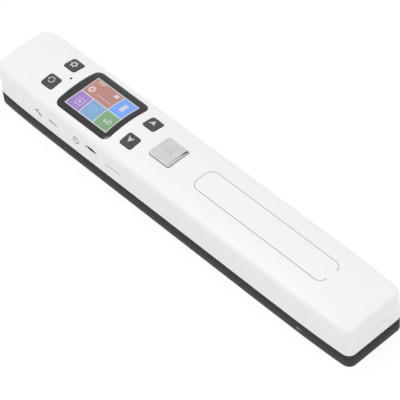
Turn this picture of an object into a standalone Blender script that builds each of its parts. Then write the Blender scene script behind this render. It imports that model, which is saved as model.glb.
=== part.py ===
"""Handheld document scanner: a wand that is drawn across a page, as its separate pieces.

Frame: +X runs along the body away from the controls, -Y is the long side with the connector, the card
slot and the power key, +Z is up. The origin is on the page, under the middle. Lengths are in metres.
"""
import math
from collections import namedtuple

import bmesh
import bpy
from mathutils import Matrix, Vector

# Outer form
LENGTH = 0.2570
WIDTH = 0.0390
SHELL_TOP = 0.0300
SEAM = 0.0085
RIDE = 0.0006
CORNER = 0.0051
BOW_share = 0.070
BOW_POWER = 7.7
CROWN = 0.0032
END_DROP = 0.0020
END_DROP_POWER = 8
TOP_ROUND = 0.0019

# Shells and the clearances between pieces
WALL = 0.0020
FLOOR = 0.0020
GAP = 0.0003
SLIP = 0.0002
SEAT = 0.0001
OVER = 0.0010
LIP_SKIN = 0.0009
LIP_HEIGHT = 0.0020
BASE_EDGE = 0.0008

# Rollers, gears and the glides opposite them
ROLLER_FROM_END = 0.0285
ROLLER_FROM_SIDE = 0.0075
TYRE_RADIUS = 0.0048
TYRE_WIDTH = 0.0070
HUB_RADIUS = 0.0034
SHAFT_RADIUS = 0.0010
BUSH_RADIUS = 0.0019
BUSH_LENGTH = 0.0018
MODULE = 0.0004
ROLLER_TEETH = 18
PINION_TEETH = 10
GEAR_FACE = 0.0020
GLIDE_LENGTH = 0.0160
GLIDE_WIDTH = 0.0040
GLIDE_HEIGHT = 0.0014

# Sensor bar and window
BAR_FROM_END = 0.0145
BAR_END = 0.0060
BAR_WIDTH = 0.0128
BAR_HEIGHT = 0.0076
WINDOW_MARGIN = 0.0015
WINDOW_WIDTH = 0.0080
GLASS_THICKNESS = 0.0009
GLASS_BORDER = 0.0012
BOARD = 0.0010

# Boards, chassis and battery
CHASSIS_PLATE = 0.0010
MAIN_BOARD_POST = 0.0004
KEY_BOARD_DEPTH = 0.0103
KEY_BOARD = 0.0012
BATTERY_WIDTH = 0.0300
BATTERY_HEIGHT = 0.0072
LEAD_ROOM = 0.0160

# Screen and keys, as they lie on the top
LENS_FROM_END = 0.0646
LENS_LENGTH = 0.0390
LENS_WIDTH = 0.0308
LENS_CORNER = 0.0034
LENS_THICKNESS = 0.0010
DISPLAY_LENGTH = 0.0307
DISPLAY_WIDTH = 0.0228
KEY_SIZE = 0.0079
KEY_CORNER = 0.0016
KEY_Y = 0.0078
LEFT_KEYS_FROM_LENS = 0.0117
RIGHT_KEYS_FROM_LENS = 0.0101
SCAN_KEY_FROM_KEYS = 0.0203
SCAN_KEY_SIZE = 0.0147
KEY_PROUD = 0.0003
SCAN_KEY_PROUD = 0.0007
KEY_TRAVEL = 0.0005
INDICATOR_FROM_LENS = 0.0052

# Near long side and near end
USB_FROM_END = 0.0460
USB_WIDTH = 0.0076
USB_HEIGHT = 0.0025
POWER_KEY_FROM_USB = 0.0305
POWER_KEY_LENGTH = 0.0104
POWER_KEY_HEIGHT = 0.0036
POWER_KEY_SUNK = 0.0004
POWER_NOTCH_LENGTH = 0.0098
POWER_NOTCH_DEPTH = 0.0016
CARD_FROM_POWER_KEY = 0.0155
CARD_WIDTH = 0.0114
CARD_SLOT = 0.0011
STRAP_RECESS_LENGTH = 0.0130
STRAP_RECESS_HEIGHT = 0.0036
STRAP_RECESS_DEPTH = 0.0007
STRAP_RECESS_Z = 0.0164

# Fastenings
SCREW_RADIUS = 0.0009
SCREW_HEAD_RADIUS = 0.0019
SCREW_HEAD = 0.0008
BOSS_RADIUS = 0.0023
SMALL_BOSS_RADIUS = 0.0018
PEG_RADIUS = 0.0008
BOSS_FROM_END = 0.0080
BOSS_FROM_SIDE = 0.0080

# Levels worked out from the sizes above
FLOOR_TOP = RIDE + FLOOR
BAR_BOTTOM = FLOOR_TOP + GAP
BAR_TOP = BAR_BOTTOM + BAR_HEIGHT
SENSOR_BOARD_BOTTOM = BAR_TOP + GAP
CHASSIS_BOTTOM = SENSOR_BOARD_BOTTOM + BOARD + GAP
CHASSIS_TOP = CHASSIS_BOTTOM + CHASSIS_PLATE
MAIN_BOARD_BOTTOM = CHASSIS_TOP + MAIN_BOARD_POST + GAP
MAIN_BOARD_TOP = MAIN_BOARD_BOTTOM + BOARD
ON_MAIN_BOARD = MAIN_BOARD_TOP + GAP
KEY_BOARD_Z = SHELL_TOP - KEY_BOARD_DEPTH
KEY_BOARD_TOP = KEY_BOARD_Z + KEY_BOARD
ON_KEY_BOARD = KEY_BOARD_TOP + GAP
ROLLER_PITCH = MODULE * ROLLER_TEETH / 2
PINION_PITCH = MODULE * PINION_TEETH / 2
ROLLER_Z = TYRE_RADIUS
ENCODER_Z = ROLLER_Z + ROLLER_PITCH + PINION_PITCH

# Places along and across the body
HALF_LENGTH = LENGTH / 2
HALF_WIDTH = WIDTH / 2
BOSS_X = HALF_LENGTH - BOSS_FROM_END
BOSS_Y = HALF_WIDTH - BOSS_FROM_SIDE
ROLLER_X = HALF_LENGTH - ROLLER_FROM_END
ROLLER_Y = HALF_WIDTH - ROLLER_FROM_SIDE
BAR_LENGTH = (HALF_LENGTH - BAR_FROM_END) * 2
OPTICS_LENGTH = BAR_LENGTH - BAR_END * 2
WINDOW_LENGTH = OPTICS_LENGTH + WINDOW_MARGIN * 2
LENS_X = LENS_FROM_END - HALF_LENGTH
LEFT_KEYS_X = LENS_X - LENS_LENGTH / 2 - LEFT_KEYS_FROM_LENS
RIGHT_KEYS_X = LENS_X + LENS_LENGTH / 2 + RIGHT_KEYS_FROM_LENS
SCAN_KEY_X = RIGHT_KEYS_X + SCAN_KEY_FROM_KEYS
INDICATOR_X = LENS_X - LENS_LENGTH / 2 - INDICATOR_FROM_LENS
USB_X = USB_FROM_END - HALF_LENGTH
POWER_KEY_X = USB_X + POWER_KEY_FROM_USB
CARD_X = POWER_KEY_X + CARD_FROM_POWER_KEY

SIGNS = ((-1, -1), (-1, 1), (1, -1), (1, 1))
MERGE_share = 0.01
MERGE = SEAT * MERGE_share
SMOOTH_BELOW = math.radians(35)
ROUND = 24
BORE_ROUND = 16
SMALL_ROUND = 12
SCREW_ROUND = 10
CORNER_STEPS = 3
ALONG_X = (0, math.pi / 2, 0)

Plan = namedtuple("Plan", "centre half_x half_y corner bow_share end_steps arc_steps side_steps")
BODY_PLAN = Plan(0, HALF_LENGTH, HALF_WIDTH, CORNER, BOW_share, 2, 5, 10)


def clear_scene():
    for item in list(bpy.data.objects):
        bpy.data.objects.remove(item, do_unlink=True)


def new_collection(name):
    collection = bpy.data.collections.new(name)
    bpy.context.scene.collection.children.link(collection)
    return collection


def finish(name, colour, roughness, metallic=0.0):
    """The finish of that name, made once."""
    if name in bpy.data.materials:
        return bpy.data.materials[name]
    material = bpy.data.materials.new(name)
    material.use_nodes = True
    shader = material.node_tree.nodes["Principled BSDF"]
    shader.inputs["Base Color"].default_value = (*colour, 1.0)
    shader.inputs["Roughness"].default_value = roughness
    shader.inputs["Metallic"].default_value = metallic
    return material


def white_plastic():
    return finish("white_plastic", (0.85, 0.85, 0.85), 0.35)


def dark_plastic():
    return finish("dark_plastic", (0.07, 0.07, 0.07), 0.5)


def inner_plastic():
    return finish("inner_plastic", (0.30, 0.31, 0.33), 0.6)


def key_plastic():
    return finish("key_plastic", (0.06, 0.06, 0.065), 0.45)


def silver_paint():
    return finish("silver_paint", (0.62, 0.62, 0.62), 0.35, 0.6)


def dark_lens():
    return finish("dark_lens", (0.04, 0.042, 0.045), 0.08)


def clear_glass():
    return finish("clear_glass", (0.75, 0.80, 0.80), 0.05)


def clear_plastic():
    return finish("clear_plastic", (0.80, 0.84, 0.84), 0.15)


def board_green():
    return finish("board_green", (0.02, 0.16, 0.07), 0.5)


def chip_black():
    return finish("chip_black", (0.03, 0.03, 0.03), 0.45)


def plated_steel():
    return finish("plated_steel", (0.62, 0.62, 0.62), 0.3, 1.0)


def bronze():
    return finish("bronze", (0.50, 0.33, 0.15), 0.4, 1.0)


def tyre_rubber():
    return finish("tyre_rubber", (0.05, 0.05, 0.052), 0.85)


def gear_plastic():
    return finish("gear_plastic", (0.80, 0.79, 0.74), 0.45)


def glide_plastic():
    return finish("glide_plastic", (0.03, 0.03, 0.03), 0.3)


def cell_wrap():
    return finish("cell_wrap", (0.12, 0.22, 0.42), 0.35)


def flex_film():
    return finish("flex_film", (0.42, 0.24, 0.08), 0.4)


def wire_red():
    return finish("wire_red", (0.50, 0.03, 0.03), 0.45)


def link_mesh(name, bm, material, origin=(0, 0, 0), turn=(0, 0, 0), parent=None, tool=False):
    """Makes one object from a bmesh, which holds it in the object's own frame."""
    mesh = bpy.data.meshes.new(name)
    bm.to_mesh(mesh)
    bm.free()
    mesh.shade_smooth()
    mesh.set_sharp_from_angle(angle=SMOOTH_BELOW)
    if material:
        mesh.materials.append(material)
    item = bpy.data.objects.new(name, mesh)
    (TOOLS if tool else PARTS).objects.link(item)
    item.location = origin
    item.rotation_euler = turn
    item.parent = parent
    if tool:
        item.hide_render = True
        item.display_type = "WIRE"
    return item


def axis_empty(name, place):
    empty = bpy.data.objects.new(name, None)
    PARTS.objects.link(empty)
    empty.location = place
    return empty


def use_tool(item, tool, operation):
    modifier = item.modifiers.new(tool.name, "BOOLEAN")
    modifier.operation = operation
    modifier.solver = "EXACT"
    modifier.object = tool


def shell_top(x, y):
    """Height of the white top: crowned across the width, and a little lower towards both ends."""
    across = (y / HALF_WIDTH) ** 2
    along = abs(x / HALF_LENGTH) ** END_DROP_POWER
    return SHELL_TOP - CROWN * across - END_DROP * along * (1 - across)


def below_top(drop):
    return lambda x, y: shell_top(x, y) - drop


def at(z):
    return lambda x, y: z


def side_wall_y(x, inset=0.0):
    """How far out the long side lies at x, less an inset."""
    return (HALF_WIDTH - inset) * (1 - BOW_share * abs(x / HALF_LENGTH) ** BOW_POWER)


def half_outline(plan, inset):
    """The +Y half of a rounded plan, from the middle of its -X end to the middle of its +X end."""
    least_share = 0.12
    hx, hy = plan.half_x - inset, plan.half_y - inset
    radius = min(max(plan.corner - inset, least_share * hy), hy)
    run, side = hx - radius, hy - radius
    points = [(-hx, side * i / plan.end_steps) for i in range(plan.end_steps)]
    for sign, start in ((-1, math.pi), (1, math.pi / 2)):
        for i in range(plan.arc_steps + 1):
            angle = start - math.pi / 2 * i / plan.arc_steps
            points.append((sign * run + radius * math.cos(angle), side + radius * math.sin(angle)))
        if sign < 0:
            for i in range(1, plan.side_steps):
                points.append((run * math.sin(math.pi * (i / plan.side_steps - 1 / 2)), hy))
    points += [(hx, side * (1 - i / plan.end_steps)) for i in range(1, plan.end_steps + 1)]
    bow = [1 - plan.bow_share * abs(x / plan.half_x) ** BOW_POWER for x, y in points]
    return [(plan.centre + x, y * b) for (x, y), b in zip(points, bow)]


def swept_half(name, plan, profile, material, origin=(0, 0, 0), tool=False):
    """Lofts a profile of (inset, level) round half a plan, and mirrors it to the other half.

    A profile that runs out from the middle along its upper side has its faces pointing out.
    """
    bm = bmesh.new()
    rows = []
    for inset, level in profile:
        places = [(x, y, level(x, y)) for x, y in half_outline(plan, inset)]
        rows.append([bm.verts.new(Vector(p) - Vector(origin)) for p in places])
    for first, second in zip(rows, rows[1:]):
        for a, b, c, d in zip(first, first[1:], second[1:], second):
            bm.faces.new((a, b, c, d))
    bmesh.ops.remove_doubles(bm, verts=bm.verts, dist=MERGE)
    bmesh.ops.dissolve_degenerate(bm, dist=MERGE, edges=bm.edges)
    item = link_mesh(name, bm, material, origin, tool=tool)
    mirror = item.modifiers.new("other_half", "MIRROR")
    mirror.use_axis = (False, True, False)
    mirror.merge_threshold = MERGE
    return item


def rounded_loop(x, y, half_x, half_y, radius, steps=CORNER_STEPS):
    """A rounded rectangle, counter-clockwise; with a radius of half its size it is a circle."""
    points = []
    for quarter in range(4):
        sx = 1 if quarter in (0, 3) else -1
        sy = 1 if quarter in (0, 1) else -1
        for i in range(steps + 1):
            angle = math.pi / 2 * (quarter + i / steps)
            px = sx * (half_x - radius) + radius * math.cos(angle)
            py = sy * (half_y - radius) + radius * math.sin(angle)
            points.append((x + px, y + py))
    return points


def round_loop(x, y, half_x, half_y, sides=ROUND, start=0.0):
    """A circle or an ellipse, counter-clockwise."""
    angles = [start + 2 * math.pi * i / sides for i in range(sides)]
    return [(x + half_x * math.cos(a), y + half_y * math.sin(a)) for a in angles]


def add_loft(bm, rings):
    """Adds a closed solid through rings of equal count, counter-clockwise as seen from the last one."""
    rows = [[bm.verts.new(p) for p in ring] for ring in rings]
    for first, second in zip(rows, rows[1:]):
        for a, b, c, d in zip(first, first[1:] + first[:1], second[1:] + second[:1], second):
            bm.faces.new((a, b, c, d))
    bm.faces.new(reversed(rows[0]))
    bm.faces.new(rows[-1])
    bmesh.ops.remove_doubles(bm, verts=bm.verts, dist=MERGE)


def ring(loop, level):
    return [(x, y, level(x, y)) for x, y in loop]


def wall_ring(loop, y):
    """A loop of (x, z) places, stood up in a plane that faces -Y."""
    return [(x, y, z) for x, z in loop]


def add_block(bm, low, high, edge=0.0, all_round=False):
    """Adds a box between two corners; edge rounds its upright edges, or all of them."""
    size = Vector(high) - Vector(low)
    matrix = Matrix.Translation((Vector(high) + Vector(low)) / 2) @ Matrix.Diagonal((*size, 1))
    made = bmesh.ops.create_cube(bm, size=1, matrix=matrix)
    if not edge:
        return
    edges = {line for vert in made["verts"] for line in vert.link_edges}
    if not all_round:
        edges = {line for line in edges if abs(line.verts[0].co.z - line.verts[1].co.z) > size.z / 2}
    bmesh.ops.bevel(bm, geom=list(edges), offset=edge, segments=2, profile=0.5, affect="EDGES")


def add_cylinder(bm, place, radius, length, axis="Z", sides=SMALL_ROUND):
    """Adds a cylinder that starts at place and runs along its axis."""
    turns = {"Z": Matrix(), "X": Matrix.Rotation(math.pi / 2, 4, "Y")}
    ways = {"Z": Vector((0, 0, 1)), "X": Vector((1, 0, 0))}
    matrix = Matrix.Translation(Vector(place) + ways[axis] * (length / 2)) @ turns[axis]
    bmesh.ops.create_cone(
        bm, cap_ends=True, segments=sides, radius1=radius, radius2=radius, depth=length, matrix=matrix
    )


def blocks(name, corners, material=None, edge=0.0, tool=False):
    bm = bmesh.new()
    for low, high in corners:
        add_block(bm, low, high, edge)
    return link_mesh(name, bm, material, tool=tool)


def cylinders(name, places, radius, length, material=None, axis="Z", sides=SMALL_ROUND, tool=False):
    bm = bmesh.new()
    for place in places:
        add_cylinder(bm, place, radius, length, axis, sides)
    return link_mesh(name, bm, material, tool=tool)


def turned(name, profile, material, origin, turn=(0, 0, 0), parent=None, sides=ROUND, hollow=False):
    """Turns a profile of (radius, height), which runs from top to bottom down its outer side."""
    bm = bmesh.new()
    verts = [bm.verts.new((radius, 0, height)) for radius, height in profile]
    for a, b in zip(verts, verts[1:]):
        bm.edges.new((a, b))
    if hollow:
        bm.edges.new((verts[-1], verts[0]))
    item = link_mesh(name, bm, material, origin, turn, parent)
    screw = item.modifiers.new("turn", "SCREW")
    screw.steps = sides
    screw.render_steps = sides
    screw.use_merge_vertices = True
    screw.merge_threshold = MERGE
    return item


def curve_object(name, points, cyclic=False):
    curve = bpy.data.curves.new(name, "CURVE")
    for loop in points:
        spline = curve.splines.new("POLY")
        spline.points.add(len(loop) - 1)
        for point, place in zip(spline.points, loop):
            point.co = (*place, 1)
        spline.use_cyclic_u = cyclic
    item = bpy.data.objects.new(name, curve)
    PARTS.objects.link(item)
    return item


def solid_of_curve(curve_item, name, material, origin=(0, 0, 0), turn=(0, 0, 0), parent=None, tool=False):
    """Makes a curve's solid into a mesh object with its caps welded, and removes the curve."""
    bpy.context.view_layer.update()
    seen = curve_item.evaluated_get(bpy.context.evaluated_depsgraph_get())
    made = bpy.data.meshes.new_from_object(seen)
    bm = bmesh.new()
    bm.from_mesh(made)
    bmesh.ops.remove_doubles(bm, verts=bm.verts, dist=MERGE)
    bpy.data.meshes.remove(made)
    bpy.data.objects.remove(curve_item)
    return link_mesh(name, bm, material, origin, turn, parent, tool)


def flat_piece(name, outlines, thickness, material, place_x, parent):
    """A flat outline with its holes, drawn in Y and Z and given a thickness along X."""
    item = curve_object(name + "_outline", [[(-z, y, 0) for y, z in loop] for loop in outlines], True)
    item.data.dimensions = "2D"
    item.data.fill_mode = "BOTH"
    item.data.extrude = thickness / 2
    return solid_of_curve(item, name, material, (place_x, 0, 0), ALONG_X, parent)


# The white housing and what is cut into it

OUTER_CAP_shares = (1.0, 0.72, 0.45, 0.22)
INNER_CAP_shares = (0.5, 1.0)
KEY_FLANGE = 0.0008
INDICATOR_RADIUS = 0.0006
KEY_BOSS_shares = (-0.9, 0.9)


def rounding(radius, wall, steps):
    """Profile rings of a rounded top edge, from the crown down to the wall."""
    rings = []
    for i in range(steps + 1):
        angle = math.pi / 2 * (1 - i / steps)
        inset = wall + radius * (1 - math.cos(angle))
        rings.append((inset, below_top(wall + radius * (1 - math.sin(angle)))))
    return rings


def top_housing():
    rim = SEAM + GAP / 2
    rebate_top = SEAM + LIP_HEIGHT + GAP
    outer_cap = [(share * HALF_WIDTH, below_top(0)) for share in OUTER_CAP_shares]
    inner_cap = [(share * HALF_WIDTH, below_top(WALL)) for share in INNER_CAP_shares]
    profile = outer_cap + rounding(TOP_ROUND, 0, 4)
    profile += [(0, at(rim)), (LIP_SKIN, at(rim)), (LIP_SKIN, at(rebate_top)), (WALL, at(rebate_top))]
    profile += list(reversed(rounding(TOP_ROUND / 2, WALL, 2))) + inner_cap
    shell = swept_half("top_housing", BODY_PLAN, profile, white_plastic())
    use_tool(shell, housing_bosses(), "UNION")
    for cutter in (housing_boss_holes, lens_pocket, lens_window, key_openings, side_openings, strap_recess):
        use_tool(shell, cutter(), "DIFFERENCE")
    return shell


def housing_boss_places():
    return [(sx * BOSS_X, sy * BOSS_Y) for sx, sy in SIGNS]


def key_board_boss_places():
    """Four places beside the key columns: screws hold the first and the last, pegs locate the others."""
    left = LEFT_KEYS_X - KEY_SIZE / 2 - KEY_FLANGE - GAP - SMALL_BOSS_RADIUS
    right = (RIGHT_KEYS_X + KEY_SIZE / 2 + SCAN_KEY_X - SCAN_KEY_SIZE / 2) / 2
    return [(x, share * KEY_Y) for x in (left, right) for share in KEY_BOSS_shares]


def boss_end(x, y):
    return shell_top(x, y) - WALL / 2


def housing_bosses():
    bm = bmesh.new()
    for x, y in housing_boss_places():
        add_cylinder(bm, (x, y, BAR_BOTTOM), BOSS_RADIUS, boss_end(x, y) - BAR_BOTTOM, sides=BORE_ROUND)
    for index, (x, y) in enumerate(key_board_boss_places()):
        if index in (0, 3):
            add_cylinder(bm, (x, y, ON_KEY_BOARD), SMALL_BOSS_RADIUS, boss_end(x, y) - ON_KEY_BOARD)
            continue
        peg = round_loop(x, y, PEG_RADIUS, PEG_RADIUS, SMALL_ROUND)
        boss = round_loop(x, y, SMALL_BOSS_RADIUS, SMALL_BOSS_RADIUS, SMALL_ROUND)
        levels = ((peg, KEY_BOARD_Z), (peg, ON_KEY_BOARD), (boss, ON_KEY_BOARD), (boss, boss_end(x, y)))
        add_loft(bm, [ring(loop, at(z)) for loop, z in levels])
    return link_mesh("housing_bosses_tool", bm, None, tool=True)


def housing_boss_holes():
    hole = SCREW_RADIUS + SLIP
    bm = bmesh.new()
    for x, y in housing_boss_places():
        add_cylinder(bm, (x, y, BAR_BOTTOM - OVER), hole, SEAM + OVER)
    places = key_board_boss_places()
    for x, y in (places[0], places[3]):
        depth = boss_end(x, y) - WALL - ON_KEY_BOARD
        add_cylinder(bm, (x, y, ON_KEY_BOARD - OVER), hole, depth + OVER)
    return link_mesh("boss_holes_tool", bm, None, tool=True)


def lens_plan(length=LENS_LENGTH, width=LENS_WIDTH, corner=LENS_CORNER, grow=0.0):
    return Plan(LENS_X, length / 2 + grow, width / 2 + grow, corner + grow, 0.0, 3, 4, 4)


def slab_profile(plan, high, low, edge):
    """Profile of a slab that follows the crown, with one more ring on its upper and lower sides."""
    middle, top, bottom = plan.half_y / 2, below_top(high), below_top(low)
    upper = [(plan.half_y, top), (middle, top), (edge, top), (0, below_top(high + edge))]
    return upper + [(0, bottom), (middle, bottom), (plan.half_y, bottom)]


def lens_pocket():
    plan = lens_plan(grow=SLIP)
    profile = slab_profile(plan, -OVER, LENS_THICKNESS + GAP, OVER / 4)
    return swept_half("lens_pocket_tool", plan, profile, None, tool=True)


def lens_window():
    plan = lens_plan(DISPLAY_LENGTH, DISPLAY_WIDTH, KEY_CORNER, OVER / 2)
    profile = slab_profile(plan, LENS_THICKNESS, WALL + OVER, OVER / 4)
    return swept_half("lens_window_tool", plan, profile, None, tool=True)


def key_places():
    return {
        "back": (LEFT_KEYS_X, -KEY_Y),
        "menu": (LEFT_KEYS_X, KEY_Y),
        "down": (RIGHT_KEYS_X, -KEY_Y),
        "up": (RIGHT_KEYS_X, KEY_Y),
    }


def key_openings():
    bm = bmesh.new()
    loops = []
    for x, y in key_places().values():
        loops.append(rounded_loop(x, y, KEY_SIZE / 2 + SLIP, KEY_SIZE / 2 + SLIP, KEY_CORNER + SLIP))
    half = SCAN_KEY_SIZE / 2 + SLIP
    loops.append(rounded_loop(SCAN_KEY_X, 0, half, half, KEY_CORNER + SLIP))
    loops.append(round_loop(INDICATOR_X, 0, INDICATOR_RADIUS + SLIP, INDICATOR_RADIUS + SLIP, SMALL_ROUND))
    for loop in loops:
        add_loft(bm, [ring(loop, below_top(WALL + OVER)), ring(loop, below_top(-OVER))])
    return link_mesh("key_openings_tool", bm, None, tool=True)


def side_openings():
    """Openings for the connector, the power key and the card, in the near long side."""
    usb = rounded_loop(USB_X, USB_Z, USB_WIDTH / 2 + GAP, USB_HEIGHT / 2 + SLIP, USB_HEIGHT / 4)
    key_half_x, key_half_z = POWER_KEY_LENGTH / 2 + GAP, POWER_KEY_HEIGHT / 2 + GAP
    key = round_loop(POWER_KEY_X, POWER_KEY_Z, key_half_x, key_half_z)
    slot_half = CARD_SLOT / 2 + GAP
    card = rounded_loop(CARD_X, CARD_Z, CARD_WIDTH / 2 + GAP, slot_half, slot_half / 2)
    bm = bmesh.new()
    for x, loop in ((USB_X, usb), (POWER_KEY_X, key), (CARD_X, card)):
        inside = OVER - side_wall_y(x, WALL)
        add_loft(bm, [wall_ring(loop, inside), wall_ring(loop, -HALF_WIDTH - OVER)])
    return link_mesh("side_openings_tool", bm, None, tool=True)


def strap_recess():
    """A shallow dished recess in the +X end."""
    half_y, half_z, depth = STRAP_RECESS_LENGTH / 2, STRAP_RECESS_HEIGHT / 2, STRAP_RECESS_DEPTH
    rings = []
    for shrink, x in ((depth, HALF_LENGTH - depth), (0, HALF_LENGTH), (0, HALF_LENGTH + OVER)):
        loop = rounded_loop(0, STRAP_RECESS_Z, half_y - shrink, half_z - shrink, half_z - shrink)
        rings.append([(x, y, z) for y, z in loop])
    bm = bmesh.new()
    add_loft(bm, rings)
    return link_mesh("strap_recess_tool", bm, None, tool=True)


# The dark base with its window, wells, ribs and posts

SADDLE = 0.0016
SADDLE_FROM_ROLLER = 0.0056
CHEEK = 0.0012
CHEEK_WIDTH = 0.0092
CASE_GAP = 0.0005
DISC_FROM_GEAR = 0.0022
DISC = 0.0006
DISC_RADIUS = 0.0042
SENSOR_ARM = 0.0009
SENSOR_SLOT = 0.0016
ARBOR_RADIUS = 0.0006
GUIDE = 0.0010
GUIDE_LENGTH = 0.0060
GUIDE_shares = (-0.26, 0.0, 0.26)
POST_RADIUS = 0.0016
POST_shares = ((-0.65, -0.67), (0.47, -0.67), (-0.47, 0.78), (0.03, 0.78), (0.47, 0.78))
CHASSIS_FROM_END = 0.0115
CHASSIS_SCREW_FROM_END = 0.0140
CHASSIS_SCREW_FROM_SIDE = 0.0105

LEFT_SADDLE_X = -ROLLER_X - SADDLE_FROM_ROLLER
RIGHT_SADDLE_X = ROLLER_X - SADDLE_FROM_ROLLER
INNER_CHEEK_X = ROLLER_X + TYRE_WIDTH / 2 + CASE_GAP + CHEEK / 2
GEAR_X = INNER_CHEEK_X + CHEEK / 2 + GAP + GEAR_FACE / 2
DISC_X = GEAR_X + GEAR_FACE / 2 + DISC_FROM_GEAR
OUTER_CHEEK_X = DISC_X + SENSOR_SLOT / 2 + SENSOR_ARM + GAP + CHEEK / 2


def chassis_screw_places():
    """One screw near each end of the chassis, both on the side away from the rollers."""
    across = CHASSIS_SCREW_FROM_SIDE - HALF_WIDTH
    inset = HALF_LENGTH - CHASSIS_SCREW_FROM_END
    return [(-inset, across), (inset, across)]


def base_cover():
    lip = LIP_SKIN + GAP
    rim, lip_top = SEAM - GAP / 2, SEAM + LIP_HEIGHT
    profile = [
        (HALF_WIDTH, at(FLOOR_TOP)), (WALL, at(FLOOR_TOP)), (WALL, at(lip_top)), (lip, at(lip_top)),
        (lip, at(rim)), (0, at(rim)),
    ]
    for i in range(3):
        angle = math.pi / 2 * i / 2
        inset = BASE_EDGE * (1 - math.cos(angle))
        profile.append((inset, at(RIDE + BASE_EDGE * (1 - math.sin(angle)))))
    profile.append((HALF_WIDTH, at(RIDE)))
    base = swept_half("base_cover", BODY_PLAN, profile, dark_plastic())
    use_tool(base, base_ribs(), "UNION")
    use_tool(base, base_posts(), "UNION")
    for cutter in (window_recess, window_opening, base_wells, shaft_holes, base_screw_holes):
        use_tool(base, cutter(), "DIFFERENCE")
    return base


def base_ribs():
    """Saddles for the roller bushes, the two cheeks of the gear case, and guides beside the sensor bar."""
    sunk = FLOOR_TOP - FLOOR / 2
    bm = bmesh.new()
    saddle_half = BUSH_RADIUS + SADDLE
    for x in (LEFT_SADDLE_X, RIGHT_SADDLE_X):
        low = (x - SADDLE / 2, ROLLER_Y - saddle_half, sunk)
        add_block(bm, low, (x + SADDLE / 2, ROLLER_Y + saddle_half, ROLLER_Z + SHAFT_RADIUS))
    for x in (INNER_CHEEK_X, OUTER_CHEEK_X):
        low = (x - CHEEK / 2, ROLLER_Y - CHEEK_WIDTH / 2, sunk)
        add_block(bm, low, (x + CHEEK / 2, ROLLER_Y + CHEEK_WIDTH / 2, CHASSIS_BOTTOM - GAP))
    near = BAR_WIDTH / 2 + GAP
    for share in GUIDE_shares:
        x = share * BAR_LENGTH
        for low_y, high_y in ((near, near + GUIDE), (-near - GUIDE, -near)):
            low = (x - GUIDE_LENGTH / 2, low_y, sunk)
            add_block(bm, low, (x + GUIDE_LENGTH / 2, high_y, FLOOR_TOP + BAR_HEIGHT / 2))
    return link_mesh("base_ribs_tool", bm, None, tool=True)


def base_posts():
    sunk = FLOOR_TOP - FLOOR / 2
    places = [(along * HALF_LENGTH, across * HALF_WIDTH, sunk) for along, across in POST_shares]
    places += [(x, y, sunk) for x, y in chassis_screw_places()]
    return cylinders("base_posts_tool", places, POST_RADIUS, CHASSIS_BOTTOM - GAP - sunk, tool=True)


def window_recess():
    half_x, half_y = WINDOW_LENGTH / 2 + GLASS_BORDER + GAP, WINDOW_WIDTH / 2 + GLASS_BORDER + GAP
    top = RIDE + GLASS_THICKNESS + GAP
    corners = [((-half_x, -half_y, RIDE - OVER), (half_x, half_y, top))]
    return blocks("window_recess_tool", corners, None, GLASS_BORDER, tool=True)


def window_opening():
    half_x, half_y = WINDOW_LENGTH / 2, WINDOW_WIDTH / 2
    corners = [((-half_x, -half_y, RIDE), (half_x, half_y, FLOOR_TOP + OVER))]
    return blocks("window_opening_tool", corners, tool=True)


def base_wells():
    """Wells for the tyres and the roller gear right through the floor, and blind pockets for the glides."""
    low_z, high_z = RIDE - OVER, FLOOR_TOP + OVER
    tyre = (TYRE_WIDTH / 2 + GAP, TYRE_RADIUS - SLIP, high_z)
    wheel = (GEAR_FACE / 2 + SLIP, ROLLER_PITCH + SLIP, high_z)
    foot = (GLIDE_LENGTH / 2 + SLIP, GLIDE_WIDTH / 2 + SLIP, GLIDE_HEIGHT + GAP)
    wells = [(-ROLLER_X, ROLLER_Y, tyre), (ROLLER_X, ROLLER_Y, tyre), (GEAR_X, ROLLER_Y, wheel)]
    wells += [(-ROLLER_X, -ROLLER_Y, foot), (ROLLER_X, -ROLLER_Y, foot)]
    corners = []
    for x, y, (half_x, half_y, top) in wells:
        corners.append(((x - half_x, y - half_y, low_z), (x + half_x, y + half_y, top)))
    return blocks("base_wells_tool", corners, None, GAP, tool=True)


def shaft_holes():
    """Open seats in the saddles, and round holes in the cheeks for both shafts."""
    seat = BUSH_RADIUS + SLIP
    bm = bmesh.new()
    for x in (LEFT_SADDLE_X, RIGHT_SADDLE_X):
        add_cylinder(bm, (x - SADDLE, ROLLER_Y, ROLLER_Z), seat, SADDLE * 2, "X", BORE_ROUND)
    add_cylinder(bm, (INNER_CHEEK_X - CHEEK, ROLLER_Y, ROLLER_Z), SHAFT_RADIUS + GAP, CHEEK * 2, "X")
    add_cylinder(bm, (OUTER_CHEEK_X - CHEEK, ROLLER_Y, ROLLER_Z), seat, CHEEK * 2, "X", BORE_ROUND)
    for x in (INNER_CHEEK_X, OUTER_CHEEK_X):
        add_cylinder(bm, (x - CHEEK, ROLLER_Y, ENCODER_Z), ARBOR_RADIUS + SLIP, CHEEK * 2, "X")
    return link_mesh("shaft_holes_tool", bm, None, tool=True)


def base_screw_holes():
    """Counterbored holes from below for the housing screws, and pilot holes in two of the posts."""
    head, shank = SCREW_HEAD_RADIUS + GAP, SCREW_RADIUS + GAP
    ledge = RIDE + SCREW_HEAD + GAP
    bm = bmesh.new()
    for x, y in housing_boss_places():
        wide, narrow = (round_loop(x, y, radius, radius, BORE_ROUND) for radius in (head, shank))
        levels = ((wide, RIDE - OVER), (wide, ledge), (narrow, ledge), (narrow, FLOOR_TOP + OVER))
        add_loft(bm, [ring(loop, at(z)) for loop, z in levels])
    low = CHASSIS_BOTTOM / 2
    for x, y in chassis_screw_places():
        add_cylinder(bm, (x, y, low), SCREW_RADIUS + SLIP, CHASSIS_BOTTOM - low + OVER)
    return link_mesh("base_screws_tool", bm, None, tool=True)


# The sensor bar over the window

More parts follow.
